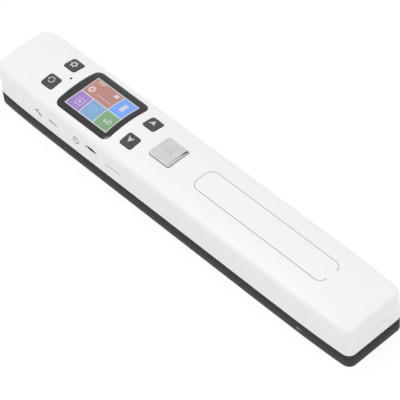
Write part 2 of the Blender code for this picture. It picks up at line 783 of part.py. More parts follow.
GUIDE_ROD_RADIUS = 0.0012
LENS_ROW_HALF = 0.0009
LENS_ROW_HEIGHT = 0.0052
CHANNEL_NEAR = 0.0046
CHANNEL_FAR = 0.0022
CHANNEL_DEPTH = 0.0034
CHANNEL_TOP = BAR_BOTTOM + CHANNEL_DEPTH


def scan_glass():
    half_x, half_y = WINDOW_LENGTH / 2 + GLASS_BORDER, WINDOW_WIDTH / 2 + GLASS_BORDER
    corners = [((-half_x, -half_y, RIDE), (half_x, half_y, RIDE + GLASS_THICKNESS))]
    return blocks("scan_glass", corners, clear_glass(), GLASS_BORDER)


def sensor_housing():
    half_x, half_y = BAR_LENGTH / 2, BAR_WIDTH / 2
    outside = [((-half_x, -half_y, BAR_BOTTOM), (half_x, half_y, BAR_TOP))]
    bar = blocks("sensor_housing", outside, inner_plastic(), GUIDE)
    run = OPTICS_LENGTH / 2 + GAP
    channel = [((-run, -CHANNEL_NEAR, BAR_BOTTOM - OVER), (run, CHANNEL_FAR, CHANNEL_TOP))]
    use_tool(bar, blocks("sensor_channel_tool", channel, tool=True), "DIFFERENCE")
    slot_half = LENS_ROW_HALF + GAP
    slot_top = BAR_BOTTOM + GAP + LENS_ROW_HEIGHT + GAP
    slot = [((-run, -slot_half, CHANNEL_TOP - OVER), (run, slot_half, slot_top))]
    use_tool(bar, blocks("lens_slot_tool", slot, tool=True), "DIFFERENCE")
    return bar


def rod_lens_array():
    half, low = OPTICS_LENGTH / 2, BAR_BOTTOM + GAP
    corners = [((-half, -LENS_ROW_HALF, low), (half, LENS_ROW_HALF, low + LENS_ROW_HEIGHT))]
    return blocks("rod_lens_array", corners, chip_black())


def light_guide():
    reach = GAP + GUIDE_ROD_RADIUS
    place = (-OPTICS_LENGTH / 2, reach - CHANNEL_NEAR, CHANNEL_TOP - reach)
    return cylinders("light_guide", [place], GUIDE_ROD_RADIUS, OPTICS_LENGTH, clear_plastic(), "X")


def sensor_board():
    half_x, half_y = BAR_LENGTH / 2 - GUIDE, BAR_WIDTH / 2 - GUIDE
    low = (-half_x, -half_y, SENSOR_BOARD_BOTTOM)
    return blocks("sensor_board", [(low, (half_x, half_y, SENSOR_BOARD_BOTTOM + BOARD))], board_green())


# The chassis, the main board and what is soldered to it

CHASSIS_FROM_SIDE = 0.0031
MAIN_BOARD_FROM_END = 0.0165
MAIN_BOARD_FAR_SIDE = 0.0100
BOARD_MARGIN = 0.0038
FIXING_FROM_EDGE = 0.0048
FLEX = 0.00025
FLEX_WIDTH = 0.0100
SOCKET_LENGTH = 0.0040
SOCKET_HEIGHT = 0.0015
SOCKET_FROM_EDGE = 0.0053
PROCESSOR = 0.0120
PROCESSOR_HEIGHT = 0.0013
MEMORY_LENGTH = 0.0080
MEMORY_WIDTH = 0.0110
CARD_SOCKET_DEPTH = 0.0140
CARD_SOCKET_HEIGHT = 0.0019
CARD_SOCKET_SKIN = 0.0004
POWER_SWITCH_HALF = 0.0015
POWER_SWITCH_LENGTH = 0.0060
POWER_SWITCH_DEPTH = 0.0036
POWER_FLANGE = 0.0008
SWITCH_PLUNGER = 0.0010
USB_DEPTH = 0.0052
USB_SKIN = 0.00035
HEADER_LENGTH = 0.0200
HEADER_WIDTH = 0.0040
RETAINER = 0.0010
RETAINER_HEIGHT = 0.0040
ENCODER_BOARD_POST = 0.0026
ENCODER_BOARD_FROM_ROLLER = 0.0015
ENCODER_SCREW_FROM_EDGE = 0.0024
SENSOR_WIDTH = 0.0036
SENSOR_BITE = 0.0026

CHASSIS_HALF_X = HALF_LENGTH - CHASSIS_FROM_END
CHASSIS_HALF_Y = HALF_WIDTH - CHASSIS_FROM_SIDE
MAIN_LOW_X = MAIN_BOARD_FROM_END - HALF_LENGTH
MAIN_HIGH_X = CARD_X + CARD_WIDTH / 2 + BOARD_MARGIN
USB_Z = ON_MAIN_BOARD + USB_HEIGHT / 2
CARD_Z = ON_MAIN_BOARD + CARD_SOCKET_HEIGHT / 2
POWER_KEY_Z = ON_MAIN_BOARD + POWER_SWITCH_HALF
ENCODER_BOARD_BOTTOM = CHASSIS_TOP + ENCODER_BOARD_POST + GAP
ENCODER_BOARD_LOW_X = ROLLER_X - ENCODER_BOARD_FROM_ROLLER
ENCODER_SCREW = (ENCODER_BOARD_LOW_X + ENCODER_SCREW_FROM_EDGE, ROLLER_Y)
KEY_BOARD_HIGH_X = SCAN_KEY_X + SCAN_KEY_SIZE / 2 + BOARD_MARGIN
BATTERY_LOW_X = KEY_BOARD_HIGH_X + LEAD_ROOM
BATTERY_HIGH_X = ENCODER_BOARD_LOW_X - LEAD_ROOM


def main_board_fixings():
    """Four corners of the main board: screws hold the first and the last, plain posts carry the others."""
    low_x, high_x = MAIN_LOW_X + FIXING_FROM_EDGE, MAIN_HIGH_X - FIXING_FROM_EDGE
    low_y, high_y = FIXING_FROM_EDGE - CHASSIS_HALF_Y, MAIN_BOARD_FAR_SIDE - FIXING_FROM_EDGE / 2
    return [(low_x, low_y), (low_x, high_y), (USB_X + PROCESSOR, low_y), (high_x, high_y)]


def inner_chassis():
    low = (-CHASSIS_HALF_X, -CHASSIS_HALF_Y, CHASSIS_BOTTOM)
    plate = [(low, (CHASSIS_HALF_X, CHASSIS_HALF_Y, CHASSIS_TOP))]
    chassis = blocks("inner_chassis", plate, inner_plastic(), RETAINER * 2)
    use_tool(chassis, chassis_posts(), "UNION")
    use_tool(chassis, chassis_walls(), "UNION")
    use_tool(chassis, chassis_cuts(), "DIFFERENCE")
    return chassis


def chassis_posts():
    sunk = CHASSIS_TOP - CHASSIS_PLATE / 2
    bm = bmesh.new()
    for x, y in main_board_fixings():
        add_cylinder(bm, (x, y, sunk), SMALL_BOSS_RADIUS, CHASSIS_TOP + MAIN_BOARD_POST - sunk)
    reach = CHASSIS_TOP + ENCODER_BOARD_POST - sunk
    add_cylinder(bm, (*ENCODER_SCREW, sunk), SMALL_BOSS_RADIUS, reach)
    return link_mesh("chassis_posts_tool", bm, None, tool=True)


def chassis_walls():
    """Stops at both ends of the battery, and legs that hold the roller bushes down in their saddles."""
    sunk_top, sunk_low = CHASSIS_TOP - CHASSIS_PLATE / 2, CHASSIS_BOTTOM + CHASSIS_PLATE / 2
    stop_half, stop_top = BATTERY_WIDTH / 4, CHASSIS_TOP + RETAINER_HEIGHT
    corners = []
    for low_x in (BATTERY_LOW_X - GAP - RETAINER, BATTERY_HIGH_X + GAP):
        corners.append(((low_x, -stop_half, sunk_top), (low_x + RETAINER, stop_half, stop_top)))
    for x in (LEFT_SADDLE_X, RIGHT_SADDLE_X):
        low = (x - SADDLE / 2, ROLLER_Y - SADDLE, ROLLER_Z + BUSH_RADIUS + GAP)
        corners.append((low, (x + SADDLE / 2, ROLLER_Y + SADDLE, sunk_low)))
    return blocks("chassis_walls_tool", corners, tool=True)


def chassis_cuts():
    """Screw holes, a notch for the flat cable, and the open corner over the gear case."""
    fixings = main_board_fixings()
    low, through = CHASSIS_BOTTOM - OVER, CHASSIS_PLATE + OVER * 2
    bm = bmesh.new()
    for x, y in (fixings[0], fixings[3], *chassis_screw_places()):
        add_cylinder(bm, (x, y, low), SCREW_RADIUS + SLIP, through)
    add_cylinder(bm, (*ENCODER_SCREW, low), SCREW_RADIUS + SLIP, through + ENCODER_BOARD_POST)
    notch_half = FLEX_WIDTH / 2 + CASE_GAP
    notch_end = GUIDE - BAR_LENGTH / 2 + GAP
    add_block(bm, (-CHASSIS_HALF_X - OVER, -notch_half, low), (notch_end, notch_half, low + through))
    case_low = INNER_CHEEK_X - CHEEK / 2 - GAP
    near = ROLLER_Y - CHEEK_WIDTH / 2 - GAP
    add_block(bm, (case_low, near, low), (CHASSIS_HALF_X + OVER, CHASSIS_HALF_Y + OVER, low + through))
    return link_mesh("chassis_cuts_tool", bm, None, tool=True)


def power_flange_back():
    """How far in the flange of the power key reaches at rest."""
    return GAP - side_wall_y(POWER_KEY_X, WALL) + POWER_FLANGE


def main_board():
    """Board with its chips, and a notch in its near edge that the power key is pressed into."""
    low = (MAIN_LOW_X, -CHASSIS_HALF_Y, MAIN_BOARD_BOTTOM)
    plate = [(low, (MAIN_HIGH_X, MAIN_BOARD_FAR_SIDE, MAIN_BOARD_TOP))]
    board = blocks("main_board", plate, board_green(), OVER)
    use_tool(board, board_chips(), "UNION")
    fixings = main_board_fixings()
    places = [(x, y, MAIN_BOARD_BOTTOM - OVER) for x, y in (fixings[0], fixings[3])]
    holes = cylinders("main_board_holes_tool", places, SCREW_RADIUS + SLIP, BOARD + OVER * 2, tool=True)
    use_tool(board, holes, "DIFFERENCE")
    half = POWER_KEY_LENGTH / 2 + KEY_FLANGE + GAP
    low = (POWER_KEY_X - half, -HALF_WIDTH, MAIN_BOARD_BOTTOM - OVER)
    high = (POWER_KEY_X + half, power_flange_back() + KEY_TRAVEL + GAP, MAIN_BOARD_TOP + OVER)
    use_tool(board, blocks("main_board_notch_tool", [(low, high)], tool=True), "DIFFERENCE")
    return board


def board_chips():
    """Processor, memory, and the socket of the flat cable, soldered on."""
    socket_x = MAIN_LOW_X + SOCKET_FROM_EDGE + SOCKET_LENGTH / 2
    memory_x = (USB_X + socket_x + MEMORY_LENGTH / 2) / 2
    chips = (
        (LENS_X - PROCESSOR / 2, 0, PROCESSOR, PROCESSOR, PROCESSOR_HEIGHT),
        (memory_x, 0, MEMORY_LENGTH, MEMORY_WIDTH, PROCESSOR_HEIGHT),
        (socket_x, 0, SOCKET_LENGTH, FLEX_WIDTH, SOCKET_HEIGHT),
    )
    sunk = MAIN_BOARD_TOP - BOARD / 2
    corners = []
    for x, y, long, wide, tall in chips:
        low = (x - long / 2, y - wide / 2, sunk)
        corners.append((low, (x + long / 2, y + wide / 2, MAIN_BOARD_TOP + tall)))
    return blocks("board_chips_tool", corners, tool=True)


def sensor_flex():
    """Flat cable out of the end of the sensor board, round in a half circle and onto the main board."""
    low_z = SENSOR_BOARD_BOTTOM + BOARD / 2
    high_z = MAIN_BOARD_TOP + GAP + FLEX / 2
    radius = (high_z - low_z) / 2
    start = GUIDE - BAR_LENGTH / 2 - GAP
    path = [(start, low_z)]
    for i in range(9):
        angle = -math.pi / 2 - math.pi * i / 8
        path.append((start - OVER + radius * math.cos(angle), low_z + radius + radius * math.sin(angle)))
    path.append((MAIN_LOW_X + SOCKET_FROM_EDGE - GAP, high_z))
    bm = bmesh.new()
    rows = [[bm.verts.new((x, y, z)) for x, z in path] for y in (-FLEX_WIDTH / 2, FLEX_WIDTH / 2)]
    for a, b, c, d in zip(rows[0], rows[0][1:], rows[1][1:], rows[1]):
        bm.faces.new((a, b, c, d))
    strip = link_mesh("sensor_flex", bm, flex_film())
    film = strip.modifiers.new("film", "SOLIDIFY")
    film.thickness = FLEX
    film.offset = 0
    return strip


def screw(name, x, y, seat, reach, upside_down=False):
    """A screw with its head on the seat; upside down, its head is below and it points up."""
    profile = [
        (0, SCREW_HEAD), (SCREW_HEAD_RADIUS, SCREW_HEAD), (SCREW_HEAD_RADIUS, 0), (SCREW_RADIUS, 0),
        (SCREW_RADIUS, -reach), (0, -reach),
    ]
    turn = (math.pi, 0, 0) if upside_down else (0, 0, 0)
    return turned(name, profile, plated_steel(), (x, y, seat), turn, sides=SCREW_ROUND)


def screws():
    for index, (x, y) in enumerate(housing_boss_places()):
        screw(f"housing_screw_{index + 1}", x, y, RIDE + SCREW_HEAD, SEAM - RIDE, True)
    reach = CHASSIS_TOP - CHASSIS_BOTTOM / 2 - OVER
    for index, (x, y) in enumerate(chassis_screw_places()):
        screw(f"chassis_screw_{index + 1}", x, y, CHASSIS_TOP + GAP, reach)
    fixings = main_board_fixings()
    for index, (x, y) in enumerate((fixings[0], fixings[3])):
        screw(f"main_board_screw_{index + 1}", x, y, ON_MAIN_BOARD, ON_MAIN_BOARD - CHASSIS_BOTTOM)
    seat = ENCODER_BOARD_BOTTOM + BOARD + GAP
    screw("encoder_board_screw", *ENCODER_SCREW, seat, seat - CHASSIS_TOP)
    places = key_board_boss_places()
    for index, (x, y) in enumerate((places[0], places[3])):
        screw(f"key_board_screw_{index + 1}", x, y, KEY_BOARD_Z - GAP, KEY_BOARD + SMALL_BOSS_RADIUS, True)


def usb_connector():
    """Plated shell with an open mouth and the tongue that carries its contacts."""
    mouth = GAP - side_wall_y(USB_X, WALL)
    half_x, half_z = USB_WIDTH / 2, USB_HEIGHT / 2
    outside = rounded_loop(USB_X, USB_Z, half_x, half_z, half_z / 2)
    bm = bmesh.new()
    add_loft(bm, [wall_ring(outside, mouth + USB_DEPTH), wall_ring(outside, mouth)])
    shell = link_mesh("usb_connector", bm, plated_steel())
    inside = rounded_loop(USB_X, USB_Z, half_x - USB_SKIN, half_z - USB_SKIN, half_z / 2 - USB_SKIN)
    bm = bmesh.new()
    add_loft(bm, [wall_ring(inside, mouth + USB_DEPTH - OVER), wall_ring(inside, mouth - OVER)])
    use_tool(shell, link_mesh("usb_mouth_tool", bm, None, tool=True), "DIFFERENCE")
    tongue_half = half_x / 2
    low = (USB_X - tongue_half, mouth + OVER, USB_Z - USB_SKIN)
    tongue = [(low, (USB_X + tongue_half, mouth + USB_DEPTH - OVER / 2, USB_Z + USB_SKIN))]
    use_tool(shell, blocks("usb_tongue_tool", tongue, tool=True), "UNION")
    return shell


def card_socket():
    """Flat metal socket with the slot that the card slides into."""
    front, skin = GAP - side_wall_y(CARD_X, WALL), CARD_SOCKET_SKIN
    half, top = CARD_WIDTH / 2 + skin, ON_MAIN_BOARD + CARD_SOCKET_HEIGHT
    outside = [((CARD_X - half, front, ON_MAIN_BOARD), (CARD_X + half, front + CARD_SOCKET_DEPTH, top))]
    socket = blocks("card_socket", outside, plated_steel())
    low = (CARD_X - CARD_WIDTH / 2, front - OVER, ON_MAIN_BOARD + skin)
    high = (CARD_X + CARD_WIDTH / 2, front + CARD_SOCKET_DEPTH - OVER, top - skin)
    use_tool(socket, blocks("card_slot_tool", [(low, high)], tool=True), "DIFFERENCE")
    return socket


def power_switch():
    """Side-pressed switch on the main board; its plunger waits behind the key's free travel."""
    tip = power_flange_back() + KEY_TRAVEL + GAP
    front = tip + SWITCH_PLUNGER
    place = (POWER_KEY_X, POWER_KEY_Z)
    body = rounded_loop(*place, POWER_SWITCH_LENGTH / 2, POWER_SWITCH_HALF, SLIP)
    pin_half = POWER_SWITCH_HALF / 2
    pin = rounded_loop(*place, pin_half, pin_half, pin_half)
    levels = ((body, front + POWER_SWITCH_DEPTH), (body, front), (pin, front), (pin, tip))
    bm = bmesh.new()
    add_loft(bm, [wall_ring(loop, y) for loop, y in levels])
    return link_mesh("power_switch", bm, chip_black())


def board_header():
    """Stacking header that joins the main board to the key board."""
    low = (LENS_X + HEADER_WIDTH / 2, -HEADER_WIDTH / 2, ON_MAIN_BOARD)
    high = (LENS_X + HEADER_WIDTH / 2 + HEADER_LENGTH, HEADER_WIDTH / 2, KEY_BOARD_Z - GAP)
    return blocks("board_header", [(low, high)], chip_black())


# Battery and its lead

PLUG_LENGTH = 0.0040
PLUG_WIDTH = 0.0060
PLUG_HEIGHT = 0.0030
WIRE_RADIUS = 0.0006
WIRE_STEPS = 12


def battery():
    half_y, bottom = BATTERY_WIDTH / 2, CHASSIS_TOP + GAP
    bm = bmesh.new()
    high = (BATTERY_HIGH_X, half_y, bottom + BATTERY_HEIGHT)
    add_block(bm, (BATTERY_LOW_X, -half_y, bottom), high, BATTERY_HEIGHT / 4, all_round=True)
    return link_mesh("battery", bm, cell_wrap())


def battery_lead():
    """Plug on the main board, with two wires that run in a low bow from the battery's end."""
    plug_low = (MAIN_HIGH_X - PLUG_LENGTH, -PLUG_WIDTH / 2, ON_MAIN_BOARD)
    plug_high = (MAIN_HIGH_X, PLUG_WIDTH / 2, ON_MAIN_BOARD + PLUG_HEIGHT)
    plug = blocks("battery_lead", [(plug_low, plug_high)], wire_red())
    start = Vector((BATTERY_LOW_X - GAP, 0, CHASSIS_TOP + RETAINER_HEIGHT + GAP + WIRE_RADIUS))
    end = Vector((MAIN_HIGH_X - PLUG_LENGTH / 2, 0, ON_MAIN_BOARD + PLUG_HEIGHT / 2))
    wires = []
    for y in (-PLUG_WIDTH / 4, PLUG_WIDTH / 4):
        places = []
        for i in range(WIRE_STEPS + 1):
            share = i / WIRE_STEPS
            ease = share * share * (3 - 2 * share)
            z = start.z + (end.z - start.z) * ease - WIRE_RADIUS * math.sin(math.pi * share)
            places.append((start.x + (end.x - start.x) * share, y, z))
        wires.append(places)
    curve = curve_object("battery_wires", wires)
    curve.data.dimensions = "3D"
    curve.data.bevel_depth = WIRE_RADIUS
    curve.data.bevel_resolution = 1
    curve.data.use_fill_caps = True
    use_tool(plug, solid_of_curve(curve, "battery_wires_tool", None, tool=True), "UNION")
    return plug


# Key board, display and the pieces that show in the top

SWITCH_SIZE = 0.0045
SWITCH_HEIGHT = 0.0032
PLUNGER_RADIUS = 0.0012
PLUNGER_HEIGHT = 0.0004
STEM_HALF = 0.0015
KEY_BOARD_HALF_Y = 0.0105
DISPLAY_BORDER = 0.0020
DISPLAY_HEIGHT = 0.0022
PANE_STEP = 0.0015
BRACKET_FLOOR = 0.0026
BRACKET_WALL = 0.0008
PLUNGER_TOP = ON_KEY_BOARD + SWITCH_HEIGHT + PLUNGER_HEIGHT
STEM_BOTTOM = PLUNGER_TOP + KEY_TRAVEL + GAP


def key_board():
    places = key_board_boss_places()
    low_x = places[0][0] - SMALL_BOSS_RADIUS - OVER
    plate = [((low_x, -KEY_BOARD_HALF_Y, KEY_BOARD_Z), (KEY_BOARD_HIGH_X, KEY_BOARD_HALF_Y, KEY_BOARD_TOP))]
    board = blocks("key_board", plate, board_green(), OVER)
    holes = [(x, y, KEY_BOARD_Z - OVER) for x, y in places]
    tool = cylinders("key_board_holes_tool", holes, SCREW_RADIUS + SLIP, KEY_BOARD + OVER * 2, tool=True)
    use_tool(board, tool, "DIFFERENCE")
    return board


def key_switch(name, x, y):
    """A square switch with a round plunger."""
    half, top = SWITCH_SIZE / 2, ON_KEY_BOARD + SWITCH_HEIGHT
    body = rounded_loop(x, y, half, half, SLIP, 2)
    pin = rounded_loop(x, y, PLUNGER_RADIUS, PLUNGER_RADIUS, PLUNGER_RADIUS, 2)
    levels = ((body, ON_KEY_BOARD), (body, top), (pin, top), (pin, PLUNGER_TOP))
    bm = bmesh.new()
    add_loft(bm, [ring(loop, at(z)) for loop, z in levels])
    return link_mesh(name, bm, chip_black())


def display_half_sizes():
    return DISPLAY_LENGTH / 2 + DISPLAY_BORDER, DISPLAY_WIDTH / 2 + DISPLAY_BORDER


def display_bracket():
    half_x, half_y = display_half_sizes()
    in_x, in_y = half_x + GAP, half_y + GAP
    out_x, out_y = in_x + BRACKET_WALL, in_y + BRACKET_WALL
    top = ON_KEY_BOARD + BRACKET_FLOOR + DISPLAY_HEIGHT / 2
    outside = [((LENS_X - out_x, -out_y, ON_KEY_BOARD), (LENS_X + out_x, out_y, top))]
    bracket = blocks("display_bracket", outside, inner_plastic(), BRACKET_WALL)
    low = (LENS_X - in_x, -in_y, ON_KEY_BOARD + BRACKET_FLOOR)
    pocket = [(low, (LENS_X + in_x, in_y, top + OVER))]
    use_tool(bracket, blocks("display_pocket_tool", pocket, tool=True), "DIFFERENCE")
    cut_x, cut_y = DISPLAY_LENGTH / 3, DISPLAY_WIDTH / 3
    through = [((LENS_X - cut_x, -cut_y, ON_KEY_BOARD - OVER), (LENS_X + cut_x, cut_y, top))]
    use_tool(bracket, blocks("bracket_opening_tool", through, tool=True), "DIFFERENCE")
    return bracket


def display_module():
    half_x, half_y = display_half_sizes()
    bottom, inset = ON_KEY_BOARD + BRACKET_FLOOR + GAP, DISPLAY_BORDER / 2
    frame = rounded_loop(LENS_X, 0, half_x, half_y, SLIP, 2)
    pane = rounded_loop(LENS_X, 0, half_x - inset, half_y - inset, SLIP, 2)
    levels = ((frame, 0), (frame, PANE_STEP), (pane, PANE_STEP), (pane, DISPLAY_HEIGHT))
    bm = bmesh.new()
    add_loft(bm, [ring(loop, at(bottom + z)) for loop, z in levels])
    return link_mesh("display_module", bm, chip_black())


def screen_lens():
    plan = lens_plan()
    profile = slab_profile(plan, 0, LENS_THICKNESS, SLIP)
    return swept_half("screen_lens", plan, profile, dark_lens())


def indicator_light_pipe():
    top = shell_top(INDICATOR_X, 0) - SEAT - ON_KEY_BOARD
    foot, pipe = INDICATOR_RADIUS * 2, INDICATOR_RADIUS
    profile = [(0, top), (pipe, top), (pipe, foot), (foot, foot), (foot, 0), (0, 0)]
    place = (INDICATOR_X, 0, ON_KEY_BOARD)
    return turned("indicator_light_pipe", profile, clear_plastic(), place, sides=SMALL_ROUND)


def small_key(name, x, y):
    """A rounded square key with a flange under the shell and a stem over its switch."""
    half, under = KEY_SIZE / 2, WALL + GAP
    flange_half, face_half = half + KEY_FLANGE, half - KEY_PROUD
    stem = rounded_loop(x, y, STEM_HALF, STEM_HALF, STEM_HALF)
    flange = rounded_loop(x, y, flange_half, flange_half, KEY_CORNER)
    body = rounded_loop(x, y, half, half, KEY_CORNER)
    face = rounded_loop(x, y, face_half, face_half, KEY_CORNER - KEY_PROUD)
    flange_top, flange_bottom = below_top(under), below_top(under + KEY_FLANGE)
    levels = (
        (stem, at(STEM_BOTTOM)), (stem, flange_bottom), (flange, flange_bottom), (flange, flange_top),
        (body, flange_top), (body, below_top(0)), (face, below_top(-KEY_PROUD)),
    )
    origin = Vector((x, y, shell_top(x, y)))
    bm = bmesh.new()
    add_loft(bm, [[Vector(p) - origin for p in ring(loop, level)] for loop, level in levels])
    return link_mesh(name, bm, key_plastic(), origin)


def scan_key():
    """The wide silver key; its flat edge stands a little higher than the small keys."""
    half, edge, under = SCAN_KEY_SIZE / 2, SCAN_KEY_PROUD / 2, WALL + GAP
    plan = Plan(SCAN_KEY_X, half, half, KEY_CORNER, 0.0, 2, 4, 4)
    top, flange_top = below_top(-SCAN_KEY_PROUD), below_top(under)
    flange_bottom, stem = below_top(under + KEY_FLANGE), half - STEM_HALF
    profile = [
        (half, top), (half / 2, top), (edge, top), (0, below_top(edge - SCAN_KEY_PROUD)), (0, flange_top),
        (-KEY_FLANGE, flange_top), (-KEY_FLANGE, flange_bottom), (stem, flange_bottom),
        (stem, at(STEM_BOTTOM)), (half, at(STEM_BOTTOM)),
    ]
    return swept_half("scan_key", plan, profile, silver_paint(), (SCAN_KEY_X, 0, shell_top(SCAN_KEY_X, 0)))


def power_key():
    """An oval key in the near wall, sunk a little, with a nail notch along its top."""
    face = POWER_KEY_SUNK - side_wall_y(POWER_KEY_X)
    inside = GAP - side_wall_y(POWER_KEY_X, WALL)
    origin = Vector((POWER_KEY_X, face, POWER_KEY_Z))
    levels = (
        (KEY_FLANGE, power_flange_back()), (KEY_FLANGE, inside), (0, inside),
        (0, face + SLIP), (-SLIP, face),
    )
    half_x, half_z = POWER_KEY_LENGTH / 2, POWER_KEY_HEIGHT / 2
    bm = bmesh.new()
    rings = []
    for grow, y in levels:
        loop = round_loop(POWER_KEY_X, POWER_KEY_Z, half_x + grow, half_z + grow)
        rings.append([Vector(p) - origin for p in wall_ring(loop, y)])
    add_loft(bm, rings)
    key = link_mesh("power_key", bm, white_plastic(), origin)
    notch_z = POWER_KEY_Z + POWER_KEY_HEIGHT - POWER_NOTCH_DEPTH
    notch = round_loop(POWER_KEY_X, notch_z, POWER_NOTCH_LENGTH / 2, half_z)
    bm = bmesh.new()
    add_loft(bm, [wall_ring(notch, y) for y in (inside + SEAT, face - OVER)])
    use_tool(key, link_mesh("power_notch_tool", bm, None, tool=True), "DIFFERENCE")
    return key


# Rollers, gears and the slotted disc that measures the travel

DISC_SLOTS = 16
DISC_SLOT_shares = (0.66, 0.92)
DISC_SLOT_WIDTH = 0.0006
ADDENDUM_share = 0.7
DEDENDUM_share = 1.15
ROOT_share = 1.05
BACKLASH = 0.00012
PRESSURE = math.radians(20)
FLANK_STEPS = 2
HUB_BOSS_share = 1.8
HUB_RIM_share = 0.8
HUB_WEB = 0.0010
GROOVE_share = 1 / 3
SHAFT_LEFT_X = LEFT_SADDLE_X - BUSH_LENGTH
SHAFT_RIGHT_X = OUTER_CHEEK_X + BUSH_LENGTH


def gear_outline(teeth, centre_angle):
    """Outline of an involute gear with stub teeth; one tooth's middle lies at centre_angle."""
    pitch = MODULE * teeth / 2
    base = pitch * math.cos(PRESSURE)
    tip, root = pitch + MODULE * ADDENDUM_share, pitch - MODULE * DEDENDUM_share
    half = math.pi / (2 * teeth) - BACKLASH / (2 * pitch) + math.tan(PRESSURE) - PRESSURE
    start = max(base, root)
    flank = [(root, half * ROOT_share)]
    for i in range(FLANK_STEPS + 1):
        radius = start + (tip - start) * i / FLANK_STEPS
        pressure = math.acos(min(1.0, base / radius))
        flank.append((radius, half - math.tan(pressure) + pressure))
    points = []
    for tooth in range(teeth):
        middle = centre_angle + 2 * math.pi * tooth / teeth
        points += [(r, middle - a) for r, a in flank] + [(r, middle + a) for r, a in reversed(flank)]
    return [(r * math.cos(a), r * math.sin(a)) for r, a in points]


def bore_loop(radius):
    return round_loop(0, 0, radius, radius, SMALL_ROUND)


def roller_pieces(parent):
    middle, half = (SHAFT_RIGHT_X + SHAFT_LEFT_X) / 2, (SHAFT_RIGHT_X - SHAFT_LEFT_X) / 2
    neck = SHAFT_RADIUS - SLIP
    profile = [(0, half), (neck, half), (SHAFT_RADIUS, half - SLIP)]
    profile += [(SHAFT_RADIUS, SLIP - half), (neck, -half), (0, -half)]
    turned("roller_shaft", profile, plated_steel(), (middle, 0, 0), ALONG_X, parent, SMALL_ROUND)
    for side, x in (("left", -ROLLER_X), ("right", ROLLER_X)):
        place = (x, 0, 0)
        turned(side + "_roller_hub", hub_profile(), gear_plastic(), place, ALONG_X, parent, BORE_ROUND, True)
        turned(side + "_roller_tyre", tyre_profile(), tyre_rubber(), place, ALONG_X, parent, ROUND, True)
    outlines = [gear_outline(ROLLER_TEETH, math.pi / 2), bore_loop(SHAFT_RADIUS + SEAT)]
    flat_piece("roller_gear", outlines, GEAR_FACE, gear_plastic(), GEAR_X, parent)


def hub_profile():
    """Hub with a web between its rim and its boss, from the top of its boss round the outside."""
    half, bore = TYRE_WIDTH / 2 - GAP, SHAFT_RADIUS + SEAT
    boss, rim, web = SHAFT_RADIUS * HUB_BOSS_share, HUB_RADIUS * HUB_RIM_share, HUB_WEB
    upper = [(boss, half), (boss, web), (rim, web), (rim, half), (HUB_RADIUS, half)]
    lower = [(radius, -height) for radius, height in reversed(upper)]
    return upper + lower + [(bore, -half), (bore, half)]


def tyre_profile():
    """Rubber ring with two shallow grooves round its tread."""
    half, inner, edge = TYRE_WIDTH / 2, HUB_RADIUS + SEAT, SLIP * 2
    outside = [(TYRE_RADIUS - edge, half), (TYRE_RADIUS, half - edge)]
    for z in (half * GROOVE_share, -half * GROOVE_share):
        outside += [(TYRE_RADIUS, z + SLIP), (TYRE_RADIUS - SLIP, z), (TYRE_RADIUS, z - SLIP)]
    outside += [(TYRE_RADIUS, edge - half), (TYRE_RADIUS - edge, -half)]
    return [(inner, half)] + outside + [(inner, -half)]


def shaft_bushes():
    half, bore = BUSH_LENGTH / 2, SHAFT_RADIUS + SEAT
    profile = [(bore, half), (BUSH_RADIUS, half), (BUSH_RADIUS, -half), (bore, -half)]
    for side, x in (("left", LEFT_SADDLE_X), ("right", RIGHT_SADDLE_X), ("gear", OUTER_CHEEK_X)):
        place = (x, ROLLER_Y, ROLLER_Z)
        turned(side + "_bush", profile, bronze(), place, ALONG_X, sides=BORE_ROUND, hollow=True)


def encoder_pieces(parent):
    low, high = INNER_CHEEK_X - CHEEK / 2, OUTER_CHEEK_X + CHEEK / 2
    middle, half = (low + high) / 2, (high - low) / 2
    profile = [(0, half), (ARBOR_RADIUS, half), (ARBOR_RADIUS, -half), (0, -half)]
    turned("encoder_arbor", profile, plated_steel(), (middle, 0, 0), ALONG_X, parent, SMALL_ROUND)
    valley_down = math.pi / PINION_TEETH - math.pi / 2
    outlines = [gear_outline(PINION_TEETH, valley_down), bore_loop(ARBOR_RADIUS + SEAT)]
    flat_piece("encoder_pinion", outlines, GEAR_FACE, gear_plastic(), GEAR_X, parent)
    encoder_disc(parent)


def encoder_disc(parent):
    """Thin disc with a ring of slots near its rim, pressed on the arbor."""
    outlines = [round_loop(0, 0, DISC_RADIUS, DISC_RADIUS, DISC_SLOTS * 2), bore_loop(ARBOR_RADIUS + SEAT)]
    inner, outer = (share * DISC_RADIUS for share in DISC_SLOT_shares)
    for slot in range(DISC_SLOTS):
        turn = Matrix.Rotation(2 * math.pi * slot / DISC_SLOTS, 2)
        corners = [(inner, -DISC_SLOT_WIDTH / 2), (outer, -DISC_SLOT_WIDTH / 2)]
        corners += [(outer, DISC_SLOT_WIDTH / 2), (inner, DISC_SLOT_WIDTH / 2)]
        outlines.append([tuple(turn @ Vector(corner)) for corner in corners])
    flat_piece("encoder_disc", outlines, DISC, chip_black(), DISC_X, parent)


def slot_sensor():
    """Forked sensor that hangs from its board and looks through the disc's slots."""
    half = SENSOR_SLOT / 2 + SENSOR_ARM
    top, low = ENCODER_BOARD_BOTTOM - GAP, ENCODER_Z + DISC_RADIUS - SENSOR_BITE
    near, far = ROLLER_Y - SENSOR_WIDTH / 2, ROLLER_Y + SENSOR_WIDTH / 2
    body = blocks("slot_sensor", [((DISC_X - half, near, low), (DISC_X + half, far, top))], chip_black())
    slot_low = (DISC_X - SENSOR_SLOT / 2, near - OVER, low - OVER)
    slot_high = (DISC_X + SENSOR_SLOT / 2, far + OVER, ENCODER_Z + DISC_RADIUS + GAP)
    use_tool(body, blocks("sensor_fork_tool", [(slot_low, slot_high)], tool=True), "DIFFERENCE")
    return body


